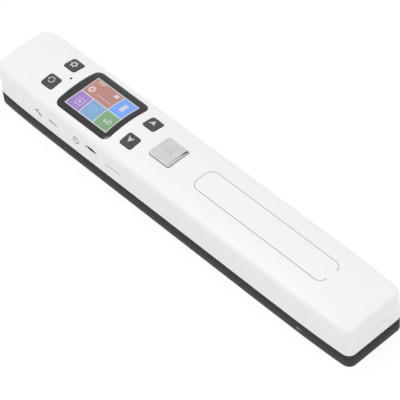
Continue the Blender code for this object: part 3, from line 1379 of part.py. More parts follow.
def encoder_board():
    half_y = CHEEK_WIDTH / 2
    low = (ENCODER_BOARD_LOW_X, ROLLER_Y - half_y, ENCODER_BOARD_BOTTOM)
    high = (OUTER_CHEEK_X + CHEEK, ROLLER_Y + half_y, ENCODER_BOARD_BOTTOM + BOARD)
    board = blocks("encoder_board", [(low, high)], board_green())
    place = (*ENCODER_SCREW, ENCODER_BOARD_BOTTOM - OVER)
    hole = cylinders("encoder_hole_tool", [place], SCREW_RADIUS + SLIP, BOARD + OVER * 2, tool=True)
    use_tool(board, hole, "DIFFERENCE")
    return board


def glide(name, x):
    """Slippery foot in a pocket of the base, level with the lowest line of the tyres."""
    half_x, half_y = GLIDE_LENGTH / 2, GLIDE_WIDTH / 2
    corners = [((x - half_x, -ROLLER_Y - half_y, 0), (x + half_x, half_y - ROLLER_Y, GLIDE_HEIGHT))]
    return blocks(name, corners, glide_plastic(), half_y / 2)


def build():
    top_housing()
    base_cover()
    scan_glass()
    sensor_housing()
    rod_lens_array()
    light_guide()
    sensor_board()
    sensor_flex()
    inner_chassis()
    main_board()
    usb_connector()
    card_socket()
    power_switch()
    board_header()
    battery()
    battery_lead()
    key_board()
    display_bracket()
    display_module()
    screen_lens()
    indicator_light_pipe()
    for name, (x, y) in key_places().items():
        small_key(name + "_key", x, y)
        key_switch(name + "_switch", x, y)
    scan_key()
    key_switch("scan_switch", SCAN_KEY_X, 0)
    power_key()
    roller_pieces(axis_empty("roller_axis", (0, ROLLER_Y, ROLLER_Z)))
    encoder_pieces(axis_empty("encoder_axis", (0, ROLLER_Y, ENCODER_Z)))
    shaft_bushes()
    slot_sensor()
    encoder_board()
    glide("left_glide", -ROLLER_X)
    glide("right_glide", ROLLER_X)
    screws()


clear_scene()
PARTS = new_collection("document_scanner")
TOOLS = new_collection("cutters")
build()
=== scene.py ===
import math

import bmesh
import bpy
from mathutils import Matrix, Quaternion, Vector


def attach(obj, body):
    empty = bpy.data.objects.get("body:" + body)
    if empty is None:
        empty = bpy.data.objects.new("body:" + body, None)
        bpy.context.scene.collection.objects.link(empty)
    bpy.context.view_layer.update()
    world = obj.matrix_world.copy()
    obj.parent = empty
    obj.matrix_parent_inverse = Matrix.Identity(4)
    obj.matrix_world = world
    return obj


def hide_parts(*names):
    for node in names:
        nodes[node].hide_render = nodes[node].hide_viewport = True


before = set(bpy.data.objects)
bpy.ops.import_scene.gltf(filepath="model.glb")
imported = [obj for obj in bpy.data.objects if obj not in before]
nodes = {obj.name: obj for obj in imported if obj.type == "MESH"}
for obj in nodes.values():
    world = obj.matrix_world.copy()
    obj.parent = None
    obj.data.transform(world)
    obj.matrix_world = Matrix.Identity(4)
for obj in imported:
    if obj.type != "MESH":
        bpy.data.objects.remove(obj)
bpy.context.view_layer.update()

# Viewpoint, table and light. A long lens looks down on the scanner from beyond its plain end and from
# the side with the ports. The table is pale, and soft light comes from above and from all round.

camera = bpy.data.objects.new("camera", bpy.data.cameras.new("camera"))
bpy.context.scene.collection.objects.link(camera)
bpy.context.scene.camera = camera
azimuth, elevation, roll = math.radians(51.305), math.radians(48.265), math.radians(-5.784)
towards_eye = Vector((
    math.sin(azimuth) * math.cos(elevation), -math.cos(azimuth) * math.cos(elevation), math.sin(elevation)
))
camera.rotation_mode = "QUATERNION"
camera.rotation_quaternion = towards_eye.to_track_quat("Z", "Y") @ Quaternion((0, 0, 1), roll)
camera.location = (0.605349, -0.479438, 0.870462)
camera.data.sensor_width = 36.0
camera.data.lens = 208.97
camera.data.clip_start, camera.data.clip_end = 0.05, 20.0

TABLE_HALF, TABLE_DROP = 3.0, 0.00003
table_mesh = bpy.data.meshes.new("table_top")
table_bm = bmesh.new()
bmesh.ops.create_grid(table_bm, x_segments=2, y_segments=2, size=TABLE_HALF)
table_bm.to_mesh(table_mesh)
table_bm.free()
table_top = bpy.data.objects.new("table_top", table_mesh)
table_top.location.z = -TABLE_DROP
bpy.context.scene.collection.objects.link(table_top)


def fed(made, sources):
    """Links or sets a node's inputs, by socket name or number. A node stands for its first output."""
    for socket, source in sources.items():
        source = source.outputs[0] if isinstance(source, bpy.types.Node) else source
        if isinstance(source, bpy.types.NodeSocket):
            made.id_data.links.new(source, made.inputs[socket])
        else:
            made.inputs[socket].default_value = source
    return made


def node(tree, kind, sources=None, **settings):
    """Adds a node, with its settings by name and its inputs fed. A bare kind means a shader node."""
    made = tree.nodes.new(kind if "Node" in kind else "ShaderNode" + kind)
    for key, value in settings.items():
        setattr(made, key, value)
    return fed(made, sources or {})


def new_finish(name):
    """A new material, with its node tree and its main shader."""
    finish = bpy.data.materials.new(name)
    finish.use_nodes = True
    return finish, finish.node_tree, finish.node_tree.nodes["Principled BSDF"]


# The paper glows wherever it is seen, be it in a mirror or through glass, and keeps a faint shadow.
table_paper, tree, paper = new_finish("table_paper")
fed(paper, {"Base Color": (0.90, 0.90, 0.90, 1), "Roughness": 0.9, "Specular IOR Level": 0.1})
backdrop_white = node(tree, "Emission", {"Strength": 1.03})
rays = node(tree, "LightPath").outputs
seen = node(tree, "Math", {0: rays["Is Camera Ray"], 1: rays["Is Glossy Ray"]}, operation="MAXIMUM")
seen_through = node(tree, "Math", {0: seen, 1: rays["Is Transmission Ray"]}, operation="MAXIMUM")
part_white = node(tree, "Math", {0: seen_through, 1: 0.86}, operation="MULTIPLY")
mixed = node(tree, "MixShader", {0: part_white, 1: paper, 2: backdrop_white})
fed(tree.nodes["Material Output"], {"Surface": mixed})
table_mesh.materials.append(table_paper)

studio = bpy.data.worlds.new("studio")
bpy.context.scene.world = studio
studio.use_nodes = True
fed(studio.node_tree.nodes["Background"], {"Color": (1, 1, 1, 1), "Strength": 0.82})
for lamp_name, place, aim, size, power in (
    ("overhead_panel", (0.5, -0.2, 1.0), (0.06, 0, 0), 0.6, 1.6),
    ("port_side_panel", (-0.36, -0.22, 1.04), (0, 0, 0.03), 0.32, 1.8),
):
    panel = bpy.data.lights.new(lamp_name, "AREA")
    panel.shape = "SQUARE"
    panel.size = size
    panel.energy = power
    lamp = bpy.data.objects.new(lamp_name, panel)
    lamp.location = place
    lamp.rotation_mode = "QUATERNION"
    lamp.rotation_quaternion = (Vector(place) - Vector(aim)).to_track_quat("Z", "Y")
    bpy.context.scene.collection.objects.link(lamp)
bpy.context.scene.view_settings.view_transform = "Standard"

# White housing. The real one is a single injection moulding in satin white plastic, crowned across,
# with soft edges. Every opening has a small lead-in at its rim, where the mould was eased.

HALF_LENGTH, HALF_WIDTH, SHELL_TOP, SEAM = 0.1285, 0.0195, 0.0300, 0.0085
CROWN, END_DROP, END_DROP_POWER = 0.0032, 0.0020, 8
BOW, BOW_POWER, CORNER, TOP_ROUND = 0.070, 7.7, 0.0041, 0.0019
WALL, LIP_SKIN, LIP_HEIGHT, EASED = 0.0020, 0.0009, 0.0023, 0.00012
FULLER, WALL_SHARE, RIM_LIFT, TINY, SHARP = 0.0022, 0.65, 0.00005, 1e-7, math.radians(32)


def shell_top(x, y):
    """Height of the white top: crowned across, a little lower towards both ends."""
    across = (y / HALF_WIDTH) ** 2
    along = abs(x / HALF_LENGTH) ** END_DROP_POWER
    return SHELL_TOP - CROWN * across - END_DROP * along * (1 - across)


def under_top(drop):
    """A level that runs under the top at an even depth, and next to it a flat one."""
    return lambda x, y: shell_top(x, y) - drop


def flat(z):
    return lambda x, y: z


def wall_y(x):
    """Where the long wall on the port side lies, at x along the body."""
    return -HALF_WIDTH * (1 - BOW * abs(x / HALF_LENGTH) ** BOW_POWER)


def plan_loop(half_x, half_y, corner, inset=0.0, bow=0.0, centre_x=0.0, ends=4, arcs=8, sides=32):
    """A rounded rectangle, drawn inwards by an inset, with its long sides bowed towards the ends."""
    hx, hy = half_x - inset, max(half_y - inset, 0.0)
    radius = min(max(corner - inset, 0.12 * hy), hy, hx)
    run, side = hx - radius, hy - radius
    upper = [(-hx, side * i / ends) for i in range(ends)]
    for sign, start in ((-1, math.pi), (1, math.pi / 2)):
        for i in range(arcs + 1):
            angle = start - math.pi / 2 * i / arcs
            upper.append((sign * run + radius * math.cos(angle), side + radius * math.sin(angle)))
        if sign < 0:
            upper += [(run * math.sin(math.pi * (i / sides - 0.5)), hy) for i in range(1, sides)]
    upper += [(hx, side * (1 - i / ends)) for i in range(1, ends + 1)]
    upper = [(x, y * (1 - bow * abs(x / half_x) ** BOW_POWER)) for x, y in upper]
    lower = [(x, -y) for x, y in reversed(upper[1:-1])]
    return [(centre_x + x, y) for x, y in upper + lower]


def loft(bm, rings, cap_first=False, cap_last=False):
    """Skins a row of closed rings of equal count, and caps either end."""
    rows = [[bm.verts.new(point) for point in ring] for ring in rings]
    for first, second in zip(rows, rows[1:]):
        for a, b, c, d in zip(first, first[1:] + first[:1], second[1:] + second[:1], second):
            bm.faces.new((a, b, c, d))
    if cap_first:
        bm.faces.new(rows[0])
    if cap_last:
        bm.faces.new(rows[-1])


def at_height(loop, level):
    """A loop of (x, y), lifted to a level."""
    return [(x, y, level(x, y)) for x, y in loop]


def closed_up(bm):
    """Welds and cleans a bmesh, and turns its faces outwards."""
    bmesh.ops.remove_doubles(bm, verts=bm.verts, dist=TINY)
    bmesh.ops.dissolve_degenerate(bm, dist=TINY, edges=bm.edges)
    bmesh.ops.recalc_face_normals(bm, faces=bm.faces)


def piece(name, bm, body, finish, stands_for=()):
    """Makes one visible piece from a bmesh, hangs it on its body and hides the solids it replaces."""
    closed_up(bm)
    mesh = bpy.data.meshes.new(name)
    bm.to_mesh(mesh)
    bm.free()
    mesh.shade_smooth()
    mesh.set_sharp_from_angle(angle=SHARP)
    for one in finish if isinstance(finish, (list, tuple)) else [finish]:
        mesh.materials.append(one)
    item = bpy.data.objects.new(name, mesh)
    bpy.context.scene.collection.objects.link(item)
    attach(item, body)
    if stands_for:
        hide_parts(*stands_for)
    return item


def carved(item, bm):
    """Cuts the bodies of a bmesh out of a piece, and keeps the result as the piece's own mesh."""
    closed_up(bm)
    tool_mesh = bpy.data.meshes.new(item.name + "_cutter")
    bm.to_mesh(tool_mesh)
    bm.free()
    tool = bpy.data.objects.new(item.name + "_cutter", tool_mesh)
    bpy.context.scene.collection.objects.link(tool)
    cut = item.modifiers.new("cut", "BOOLEAN")
    cut.solver, cut.operation, cut.object = "EXACT", "DIFFERENCE", tool
    bpy.context.view_layer.update()
    result = bpy.data.meshes.new_from_object(item.evaluated_get(bpy.context.evaluated_depsgraph_get()))
    item.modifiers.clear()
    item.data = result
    result.shade_smooth()
    result.set_sharp_from_angle(angle=SHARP)
    bpy.data.objects.remove(tool)
    return item


def new_group(name, inputs, outputs):
    """An empty node group with its named sockets: (name, kind, value) in, (name, kind) out."""
    group = bpy.data.node_groups.new(name, "ShaderNodeTree")
    for label, kind, value in inputs:
        socket = group.interface.new_socket(label, in_out="INPUT", socket_type="NodeSocket" + kind)
        socket.default_value = value
    for label, kind in outputs:
        group.interface.new_socket(label, in_out="OUTPUT", socket_type="NodeSocket" + kind)
    return group, group.nodes.new("NodeGroupInput"), group.nodes.new("NodeGroupOutput")


def own_place(tree):
    """Where a point lies on its own piece."""
    return node(tree, "TexCoord").outputs["Object"]


# The moulded skin that all the plastics share: cloudy tone, fine spark-eroded grain, uneven gloss.
SKIN = [("Colour", "Color"), ("Roughness", "Float"), ("Normal", "Vector")]
moulded, skin_in, skin_out = new_group("moulded_skin", [
    ("Colour", "Color", (0.8, 0.8, 0.8, 1)), ("Cloud", "Float", 0.03), ("Grain", "Float", 9000.0),
    ("Depth", "Float", 0.1), ("Gloss", "Float", 0.4), ("Uneven", "Float", 0.05),
], SKIN)
spot = own_place(moulded)
cloud = node(moulded, "TexNoise", {"Vector": spot, "Scale": 60.0, "Detail": 3.0})
darker = node(moulded, "Math", {0: cloud, 1: skin_in.outputs["Cloud"]}, operation="MULTIPLY")
kept = node(moulded, "Math", {0: 1.0, 1: darker}, operation="SUBTRACT")
toned = node(moulded, "VectorMath", {0: skin_in.outputs["Colour"], 3: kept}, operation="SCALE")
smear = node(moulded, "TexNoise", {"Vector": spot, "Scale": 220.0, "Detail": 4.0})
swing = node(moulded, "Math", {0: smear, 1: 0.5}, operation="SUBTRACT")
wide = node(moulded, "Math", {0: swing, 1: skin_in.outputs["Uneven"]}, operation="MULTIPLY")
rough = node(moulded, "Math", {0: wide, 1: skin_in.outputs["Gloss"]}, operation="ADD")
pits = node(moulded, "TexNoise", {"Vector": spot, "Scale": skin_in.outputs["Grain"], "Detail": 2.0})
dents = node(moulded, "Bump", {"Height": pits, "Strength": skin_in.outputs["Depth"], "Distance": 0.00004})
fed(skin_out, {"Colour": toned, "Roughness": rough, "Normal": dents})


def grouped_finish(name, group, values, shader):
    """A material whose colour, gloss and normal come from a shared node group with its own values."""
    finish, tree, surface = new_finish(name)
    skin = node(tree, "Group", values, node_tree=group).outputs
    fed(surface, {"Base Color": skin["Colour"], "Roughness": skin["Roughness"], "Normal": skin["Normal"]})
    fed(surface, {socket.replace("_", " "): value for socket, value in shader.items()})
    return finish


def moulded_finish(name, colour, cloud=0.03, grain=9000.0, depth=0.1, gloss=0.4, uneven=0.06, **shader):
    """A plastic: the shared moulded skin with its own colour, grain and gloss."""
    tone = {"Colour": (*colour, 1), "Cloud": cloud}
    skin = {"Grain": grain, "Depth": depth, "Gloss": gloss, "Uneven": uneven}
    return grouped_finish(name, moulded, {**tone, **skin}, shader)


white_moulding = moulded_finish("white_moulding", (0.86, 0.86, 0.865), 0.02, 7000.0, 0.06, 0.34, 0.08)

# Where the keys, the lens and the openings lie, and their half sizes.
KEY_HALF, KEY_LONGER, KEY_CORNER, SLIP = 0.00395, 0.0002, 0.0013, 0.0002
LENS_X, LENS_Y, LENS_HALF_X, LENS_HALF_Y, LENS_CORNER = -0.0640, -0.00015, 0.0196, 0.0154, 0.0036
KEY_PLACES = {
    "back": (-0.0950, -0.0075), "menu": (-0.0950, 0.0081),
    "down": (-0.0342, -0.00765), "up": (-0.0342, 0.00795),
}
SCAN_X, SCAN_Y, SCAN_HALF, SCAN_LONGER = -0.0140, 0.0001, 0.0072, 0.00015
LIGHT_X, LIGHT_Y, LIGHT_HOLE = -0.0887, 0.0005, 0.00072
PORT_X, PORT_Z, PORT_HALF_X, PORT_HALF_Z = -0.0825, 0.01635, 0.0035, 0.00090
POWER_X, POWER_Z, POWER_HALF_X, POWER_HALF_Z = -0.0524, 0.0174, 0.0055, 0.0026
CARD_X, CARD_Z, CARD_HALF_X, CARD_HALF_Z = -0.0365, 0.01605, 0.0058, 0.00042
RECESS_Z, RECESS_HALF_Y, RECESS_HALF_Z, RECESS_CORNER = 0.0162, 0.0065, 0.0022, 0.0021
SEAT_DEPTH, CLEAR, FLARE, FLARE_RISE = 0.0013, 0.001, EASED * 1.6, EASED * 0.6
WIDE_TOP, WIDE_SIDE, SIDE_REACH = 0.0006, 0.0004, WALL + 0.0012


def housing_rings():
    """The housing's skin: over the top from its middle, round the edge, down the wall and back inside."""
    loops = []

    def ring(inset, level, fuller=0.0):
        loop = plan_loop(HALF_LENGTH, HALF_WIDTH, CORNER + fuller * FULLER, inset, BOW)
        loops.append(at_height(loop, level))

    for step in range(22):
        ring(HALF_WIDTH + (TOP_ROUND * 1.3 - HALF_WIDTH) * step / 21, under_top(0), 1)
    for step in range(9):
        angle = math.pi / 2 * (1 - step / 8)
        fuller = WALL_SHARE + (1 - WALL_SHARE) * math.sin(angle)
        ring(TOP_ROUND * (1 - math.cos(angle)), under_top(TOP_ROUND * (1 - math.sin(angle))), fuller)
    rim = SEAM + RIM_LIFT
    for share in (0.75, 0.5, 0.25):
        ring(0, lambda x, y: rim + (shell_top(x, y) - TOP_ROUND - rim) * share, share * WALL_SHARE)
    ring(0, flat(rim + EASED))
    ring(EASED, flat(rim))
    ring(LIP_SKIN, flat(rim))
    ring(LIP_SKIN, flat(SEAM + LIP_HEIGHT))
    ring(WALL, flat(SEAM + LIP_HEIGHT))
    ring(WALL, under_top(WALL + TOP_ROUND / 2))
    for step in range(7):
        ring(WALL + TOP_ROUND / 2 + (HALF_WIDTH - WALL - TOP_ROUND / 2) * step / 6, under_top(WALL))
    return loops


def through_top(bm, loop_at):
    """A cutter through the top, with a flare at the crown that leaves an eased rim."""
    levels = ((0, -WALL - CLEAR), (0, -EASED), (FLARE, FLARE_RISE), (WIDE_TOP, CLEAR))
    loft(bm, [at_height(loop_at(grow), under_top(-rise)) for grow, rise in levels], True, True)


def square_at(x, y, half, longer, corner):
    """A key's opening, as a loop for any growth."""
    return lambda grow: [
        (px, y + py)
        for px, py in plan_loop(half + longer + grow, half + grow, corner + grow, 0, 0, x, 2, 5, 2)
    ]


def lens_loop(inset, ends=8, arcs=8, sides=16, grow=0.0):
    """The lens's outline, or its pocket's where it grows."""
    half_x, half_y, corner = LENS_HALF_X + grow, LENS_HALF_Y + grow, LENS_CORNER + grow
    loop = plan_loop(half_x, half_y, corner, inset, 0, LENS_X, ends, arcs, sides)
    return [(x, LENS_Y + y) for x, y in loop]


def oval(x, z, half_x, half_z, grow=0.0, sides=32):
    """The power key's outline, and with equal halves the pinhole's."""
    turns = [2 * math.pi * i / sides for i in range(sides)]
    return [(x + (half_x + grow) * math.cos(a), z + (half_z + grow) * math.sin(a)) for a in turns]


def rounded_slot(x, z, half_x, half_z, grow=0.0):
    """The opening of the port or of the card."""
    loop = plan_loop(half_x + grow, half_z + grow, half_z * 0.7 + grow, 0, 0, x, 1, 5, 2)
    return [(px, z + pz) for px, pz in loop]


def through_wall(bm, loop_at, x):
    """The same through the long wall on the port side."""
    outside = wall_y(x)
    levels = ((0, -SIDE_REACH), (0, -EASED), (FLARE, FLARE_RISE), (WIDE_SIDE, CLEAR))
    loft(bm, [[(px, outside - rise, pz) for px, pz in loop_at(grow)] for grow, rise in levels], True, True)


bm = bmesh.new()
loft(bm, housing_rings())
white_housing = piece("white_housing", bm, "case", white_moulding, ["top_housing"])
bm = bmesh.new()
for x, y in KEY_PLACES.values():
    through_top(bm, square_at(x, y, KEY_HALF + SLIP, KEY_LONGER, KEY_CORNER + SLIP))
through_top(bm, square_at(SCAN_X, SCAN_Y, SCAN_HALF + SLIP, SCAN_LONGER, KEY_CORNER + SLIP))
through_top(bm, lambda grow: oval(LIGHT_X, LIGHT_Y, LIGHT_HOLE, LIGHT_HOLE, grow * 0.3, 16))
seat = [
    at_height(lens_loop((LENS_HALF_Y + SLIP) * share, sides=12, grow=SLIP), under_top(SEAT_DEPTH))
    for share in (1, 0.8, 0.6, 0.4, 0.2, 0)
]
for grow, level in (
    (0, under_top(EASED)), (FLARE, under_top(-FLARE_RISE)), (WIDE_TOP, flat(SHELL_TOP + 0.0015)),
):
    seat.append(at_height(lens_loop(0, sides=12, grow=SLIP + grow), level))
loft(bm, seat, False, True)
through_wall(bm, lambda grow: rounded_slot(PORT_X, PORT_Z, PORT_HALF_X, PORT_HALF_Z, grow), PORT_X)
through_wall(bm, lambda grow: oval(POWER_X, POWER_Z, POWER_HALF_X, POWER_HALF_Z, grow), POWER_X)
through_wall(bm, lambda grow: rounded_slot(CARD_X, CARD_Z, CARD_HALF_X, CARD_HALF_Z, grow), CARD_X)
recess = []
for shrink, x in ((0.0008, 0.1275), (0.0003, 0.12765), (0.0, 0.1282), (-0.0001, 0.1285), (-0.0001, 0.1296)):
    loop = plan_loop(RECESS_HALF_Y - shrink, RECESS_HALF_Z - shrink, RECESS_CORNER - shrink, 0, 0, 0, 1, 6, 4)
    recess.append([(x, y, RECESS_Z + z) for y, z in loop])
loft(bm, recess, True, True)
carved(white_housing, bm)

# Marks on the white housing. They are pad-printed in thin grey ink: a long open outline on the top, a
# plug sign and a power sign on the side. The place of the printed words is left bare.

grey_ink = moulded_finish("grey_ink", (0.30, 0.30, 0.31), 0.15, 4000.0, 0.05, 0.55)
dark_ink = moulded_finish("dark_ink", (0.10, 0.10, 0.105), 0.15, 4000.0, 0.05, 0.55)
INK, SPLIT, OUTLINE_WIDTH, PLUG_WIDTH, POWER_SIGN_WIDTH = 0.000025, 0.0010, 0.00033, 0.00062, 0.00050


def on_top(u, v, lift):
    """A place on the crown, and next to it one on the long wall, for what is laid there."""
    return (u, v, shell_top(u, v) + lift)


def on_side(u, v, lift):
    return (u, wall_y(u) - lift, v)


def laid(bm, rings, place, capped=False):
    """Skins rings of (u, v, lift), splits their long edges, and lays the result on a surface."""
    sheet = bmesh.new()
    loft(sheet, rings, capped, capped)
    closed_up(sheet)
    bmesh.ops.triangulate(sheet, faces=sheet.faces)
    long_edges = [edge for edge in sheet.edges if edge.calc_length() > SPLIT]
    while long_edges:
        bmesh.ops.subdivide_edges(sheet, edges=long_edges, cuts=1)
        bmesh.ops.triangulate(sheet, faces=sheet.faces)
        long_edges = [edge for edge in sheet.edges if edge.calc_length() > SPLIT]
    laid_at = {vert: bm.verts.new(place(*vert.co)) for vert in sheet.verts}
    for face in sheet.faces:
        bm.faces.new([laid_at[vert] for vert in face.verts])
    sheet.free()


def ink_lines(bm, lines, width, place, thick=INK):
    """Thin printed lines along paths of (u, v), laid on a surface by the place function."""
    for path in lines:
        ring_of = []
        for index, (u, v) in enumerate(path):
            before, after = path[max(index - 1, 0)], path[min(index + 1, len(path) - 1)]
            if path[0] == path[-1] and index in (0, len(path) - 1):
                before, after = path[-2], path[1]
            along = Vector((after[0] - before[0], after[1] - before[1])).normalized() * width / 2
            left, right = (u - along.y, v + along.x), (u + along.y, v - along.x)
            ring_of.append([(*left, 0), (*left, thick), (*right, thick), (*right, 0)])
        laid(bm, ring_of, place, True)


def ink_patch(bm, outline, place, thick=INK):
    """A filled printed shape with a convex or notched outline of (u, v)."""
    laid(bm, [[(u, v, lift) for u, v in outline] for lift in (0, thick)], place, True)


def ink_ring(bm, outer, inner, place, thick=INK):
    """A printed band between two closed outlines of equal count."""
    levels = ((outer, 0), (outer, thick), (inner, thick), (inner, 0), (outer, 0))
    laid(bm, [[(u, v, lift) for u, v in loop] for loop, lift in levels], place)


def star(x, y, points, out, deep):
    """Paths of (u, v) for the marks: a star, an arc in degrees, and a straight run."""
    loop = []
    for index in range(points * 2):
        angle, reach = math.pi * index / points, deep if index % 2 else out
        loop.append((x + reach * math.cos(angle), y + reach * math.sin(angle)))
    return loop


def arc(x, y, radius, first, last, steps=12, squash=1.0):
    turns = [math.radians(first + (last - first) * i / steps) for i in range(steps + 1)]
    return [(x + radius * math.cos(a), y + radius * squash * math.sin(a)) for a in turns]


def run(a, b, steps=24):
    return [tuple(u + (v - u) * i / steps for u, v in zip(a, b)) for i in range(steps + 1)]


bm = bmesh.new()
near, far, bend = -0.00695, 0.0076, 0.0043
open_outline = arc(0.0949, far - bend, bend, 4, 90, 8)
open_outline += run((0.0920, far), (0.0145, far)) + arc(0.0138, far - bend, bend, 90, 180, 8)
open_outline += arc(0.0138, near + bend, bend, 180, 270, 8) + run((0.0160, near), (0.0920, near))
open_outline += arc(0.0949, near + bend, bend, 270, 356, 8)
ink_lines(bm, [open_outline], OUTLINE_WIDTH, on_top)
piece("outline_mark", bm, "case", grey_ink)
bm = bmesh.new()
plug_sign = [
    run((-0.0965, 0.0169), (-0.0911, 0.0158), 4), run((-0.0953, 0.0167), (-0.0941, 0.0180), 2),
    run((-0.0941, 0.0180), (-0.0929, 0.0179), 2), run((-0.0936, 0.0164), (-0.0921, 0.0142), 3),
]
ink_lines(bm, plug_sign, PLUG_WIDTH, on_side)
power_sign = [arc(-0.0641, 0.0171, 0.0018, 0, 360, 28, 1.22), run((-0.0641, 0.0171), (-0.0641, 0.0185), 2)]
ink_lines(bm, power_sign, POWER_SIGN_WIDTH, on_side)
piece("side_marks", bm, "case", dark_ink)

# Dark base. A shallow tray moulded in dark grey plastic with a fine matt grain, screwed on from below.
# It is its solid over again, with its plan corners drawn out to those of the housing, and its lower edge
# made crisp.

smoothed = bpy.data.node_groups.new("smoothed_facets", "GeometryNodeTree")
for way in ("INPUT", "OUTPUT"):
    smoothed.interface.new_socket("Geometry", in_out=way, socket_type="NodeSocketGeometry")
facets_in, facets_out = smoothed.nodes.new("NodeGroupInput"), smoothed.nodes.new("NodeGroupOutput")
welded = node(smoothed, "GeometryNodeMergeByDistance", {"Geometry": facets_in, "Distance": 0.000001})
plain = node(smoothed, "GeometryNodeRemoveAttribute", {"Geometry": welded, "Name": "custom_normal"})
round_faces = node(smoothed, "GeometryNodeSetShadeSmooth", {"Geometry": plain})
edge_angle = node(smoothed, "GeometryNodeInputMeshEdgeAngle").outputs["Unsigned Angle"]
steep = node(smoothed, "FunctionNodeCompare", {"A": edge_angle, "B": SHARP}, operation="GREATER_THAN")
crisp_edges = node(smoothed, "GeometryNodeSetShadeSmooth", {
    "Geometry": round_faces, "Selection": steep, "Shade Smooth": False,
}, domain="EDGE")
fed(facets_out, {0: crisp_edges})


def dressed(names, finish, broken=0.0):
    """Gives CAD nodes their finish, smooths their facets, and may break their edges."""
    for name in names:
        item = nodes[name]
        item.data.materials.clear()
        item.data.materials.append(finish)
        item.modifiers.new("smoothed_facets", "NODES").node_group = smoothed
        if broken:
            edges = item.modifiers.new("broken_edges", "BEVEL")
            edges.width, edges.segments, edges.limit_method = broken, 2, "ANGLE"
            edges.angle_limit, edges.harden_normals = math.radians(40), True


grey_moulding = moulded_finish(
    "grey_moulding", (0.034, 0.034, 0.035), 0.12, 5200.0, 0.22, 0.56, 0.08, Specular_IOR_Level=0.3
)
# The solid's corner radius, edge rounding and height above the page, and how the edge is drawn in.
SOLID_CORNER, SOLID_EDGE, RIDE, EDGE_SHARE, RIM_DROP = 0.0051, 0.0008, 0.0006, 0.12, 0.00025


def drawn_out(x, y, z):
    """Moves a point of the solid outwards: to the housing's plan corners, and to a crisp lower edge."""
    slim = 1 - BOW * min(abs(x) / HALF_LENGTH, 1.0) ** BOW_POWER
    dx, dy = abs(x) - (HALF_LENGTH - SOLID_CORNER), abs(y) / slim - (HALF_WIDTH - SOLID_CORNER)
    cornered = dx > 0 and dy > 0
    inset = SOLID_CORNER - (math.hypot(dx, dy) if cornered else max(dx, dy))
    if z < RIDE + SOLID_EDGE + TINY * 10 and inset < SOLID_EDGE + TINY * 10:
        z = RIDE - RIM_DROP + (z - RIDE) * EDGE_SHARE
        step = inset * (1 - EDGE_SHARE)
        if cornered:
            growth = 1 + step / math.hypot(dx, dy)
            dx, dy = dx * growth, dy * growth
        elif dx > dy:
            dx += step
        else:
            dy += step
    if not cornered:
        new_x, new_y = HALF_LENGTH - SOLID_CORNER + dx, HALF_WIDTH - SOLID_CORNER + dy
        return math.copysign(new_x, x), math.copysign(new_y * slim, y), z
    away, shift = math.hypot(dx, dy), SOLID_CORNER - CORNER
    along, across = dx / away, dy / away
    if across * SOLID_CORNER <= shift * along:
        reach = SOLID_CORNER / along
    elif along * SOLID_CORNER <= shift * across:
        reach = SOLID_CORNER / across
    else:
        reach = shift * (along + across) + math.sqrt(CORNER ** 2 - (shift * (along - across)) ** 2)
    away *= 1 + (reach / SOLID_CORNER - 1) * (away / SOLID_CORNER) ** 2
    new_x, new_y = HALF_LENGTH - SOLID_CORNER + away * along, HALF_WIDTH - SOLID_CORNER + away * across
    new_y *= 1 - BOW * (new_x / HALF_LENGTH) ** BOW_POWER
    return math.copysign(new_x, x), math.copysign(new_y, y), z


bm = bmesh.new()
bm.from_mesh(nodes["base_cover"].data)
for vert in bm.verts:
    vert.co = drawn_out(*vert.co)
piece("dark_base", bm, "case", grey_moulding, ["base_cover"])

# Scan mark. An arrow against a bar, pad-printed in pale ink on the base's long side, where the page
# begins.

pale_ink = moulded_finish("pale_ink", (0.36, 0.36, 0.36), 0.1, 4000.0, 0.05, 0.55)
bm = bmesh.new()
ink_patch(bm, [(0.0945, 0.0028), (0.0945, 0.0046), (0.0963, 0.0037)], on_side)
ink_lines(bm, [run((0.0968, 0.0028), (0.0968, 0.0046), 1)], 0.00030, on_side)
piece("start_mark", bm, "case", pale_ink)

# Housing screws. Four plated pan-head screws hold the base to the housing's bosses, each with a cross
# recess, in counterbores near the corners of the underside.


def ranged(tree, source, low, high, first=0, last=1):
    """Maps one span of a value onto another."""
    spans = {"From Min": low, "From Max": high, "To Min": first, "To Max": last}
    return node(tree, "MapRange", {"Value": source, **spans})


brushed, metal_in, metal_out = new_group("worked_metal", [
    ("Colour", "Color", (0.6, 0.6, 0.6, 1)), ("Lines", "Float", 900.0), ("Depth", "Float", 0.1),
    ("Gloss", "Float", 0.3),
], SKIN)
spot = own_place(brushed)
drawn = node(brushed, "Mapping", {"Vector": spot, "Scale": (0.05, 1.0, 1.0)})
lines = node(brushed, "TexNoise", {"Vector": drawn, "Scale": metal_in.outputs["Lines"], "Detail": 3.0})
stain = node(brushed, "TexNoise", {"Vector": spot, "Scale": 300.0, "Detail": 3.0})
tint = ranged(brushed, stain, 0, 1, 0.82, 1.08)
toned = node(brushed, "VectorMath", {0: metal_in.outputs["Colour"], 3: tint}, operation="SCALE")
swing = ranged(brushed, lines, 0, 1, -0.08, 0.12)
rough = node(brushed, "Math", {0: swing, 1: metal_in.outputs["Gloss"]}, operation="ADD")
scored = node(brushed, "Bump", {"Height": lines, "Strength": metal_in.outputs["Depth"], "Distance": 0.00003})
fed(metal_out, {"Colour": toned, "Roughness": rough, "Normal": scored})


def metal_finish(name, colour, lines=900.0, depth=0.1, gloss=0.3, metallic=1.0):
    """A metal: the shared worked skin with its own colour, lines and gloss."""
    values = {"Colour": (*colour, 1), "Lines": lines, "Depth": depth, "Gloss": gloss}
    return grouped_finish(name, brushed, values, {"Metallic": metallic})


plated_steel = metal_finish("plated_steel", (0.60, 0.60, 0.61), 1200.0, 0.15, 0.28)
HEAD_LOW, HEAD_HIGH, HEAD_RADIUS = 0.0006, 0.0014, 0.0019
SCREW_END, SCREW_RADIUS, PITCH = 0.0093, 0.0009, 0.00045


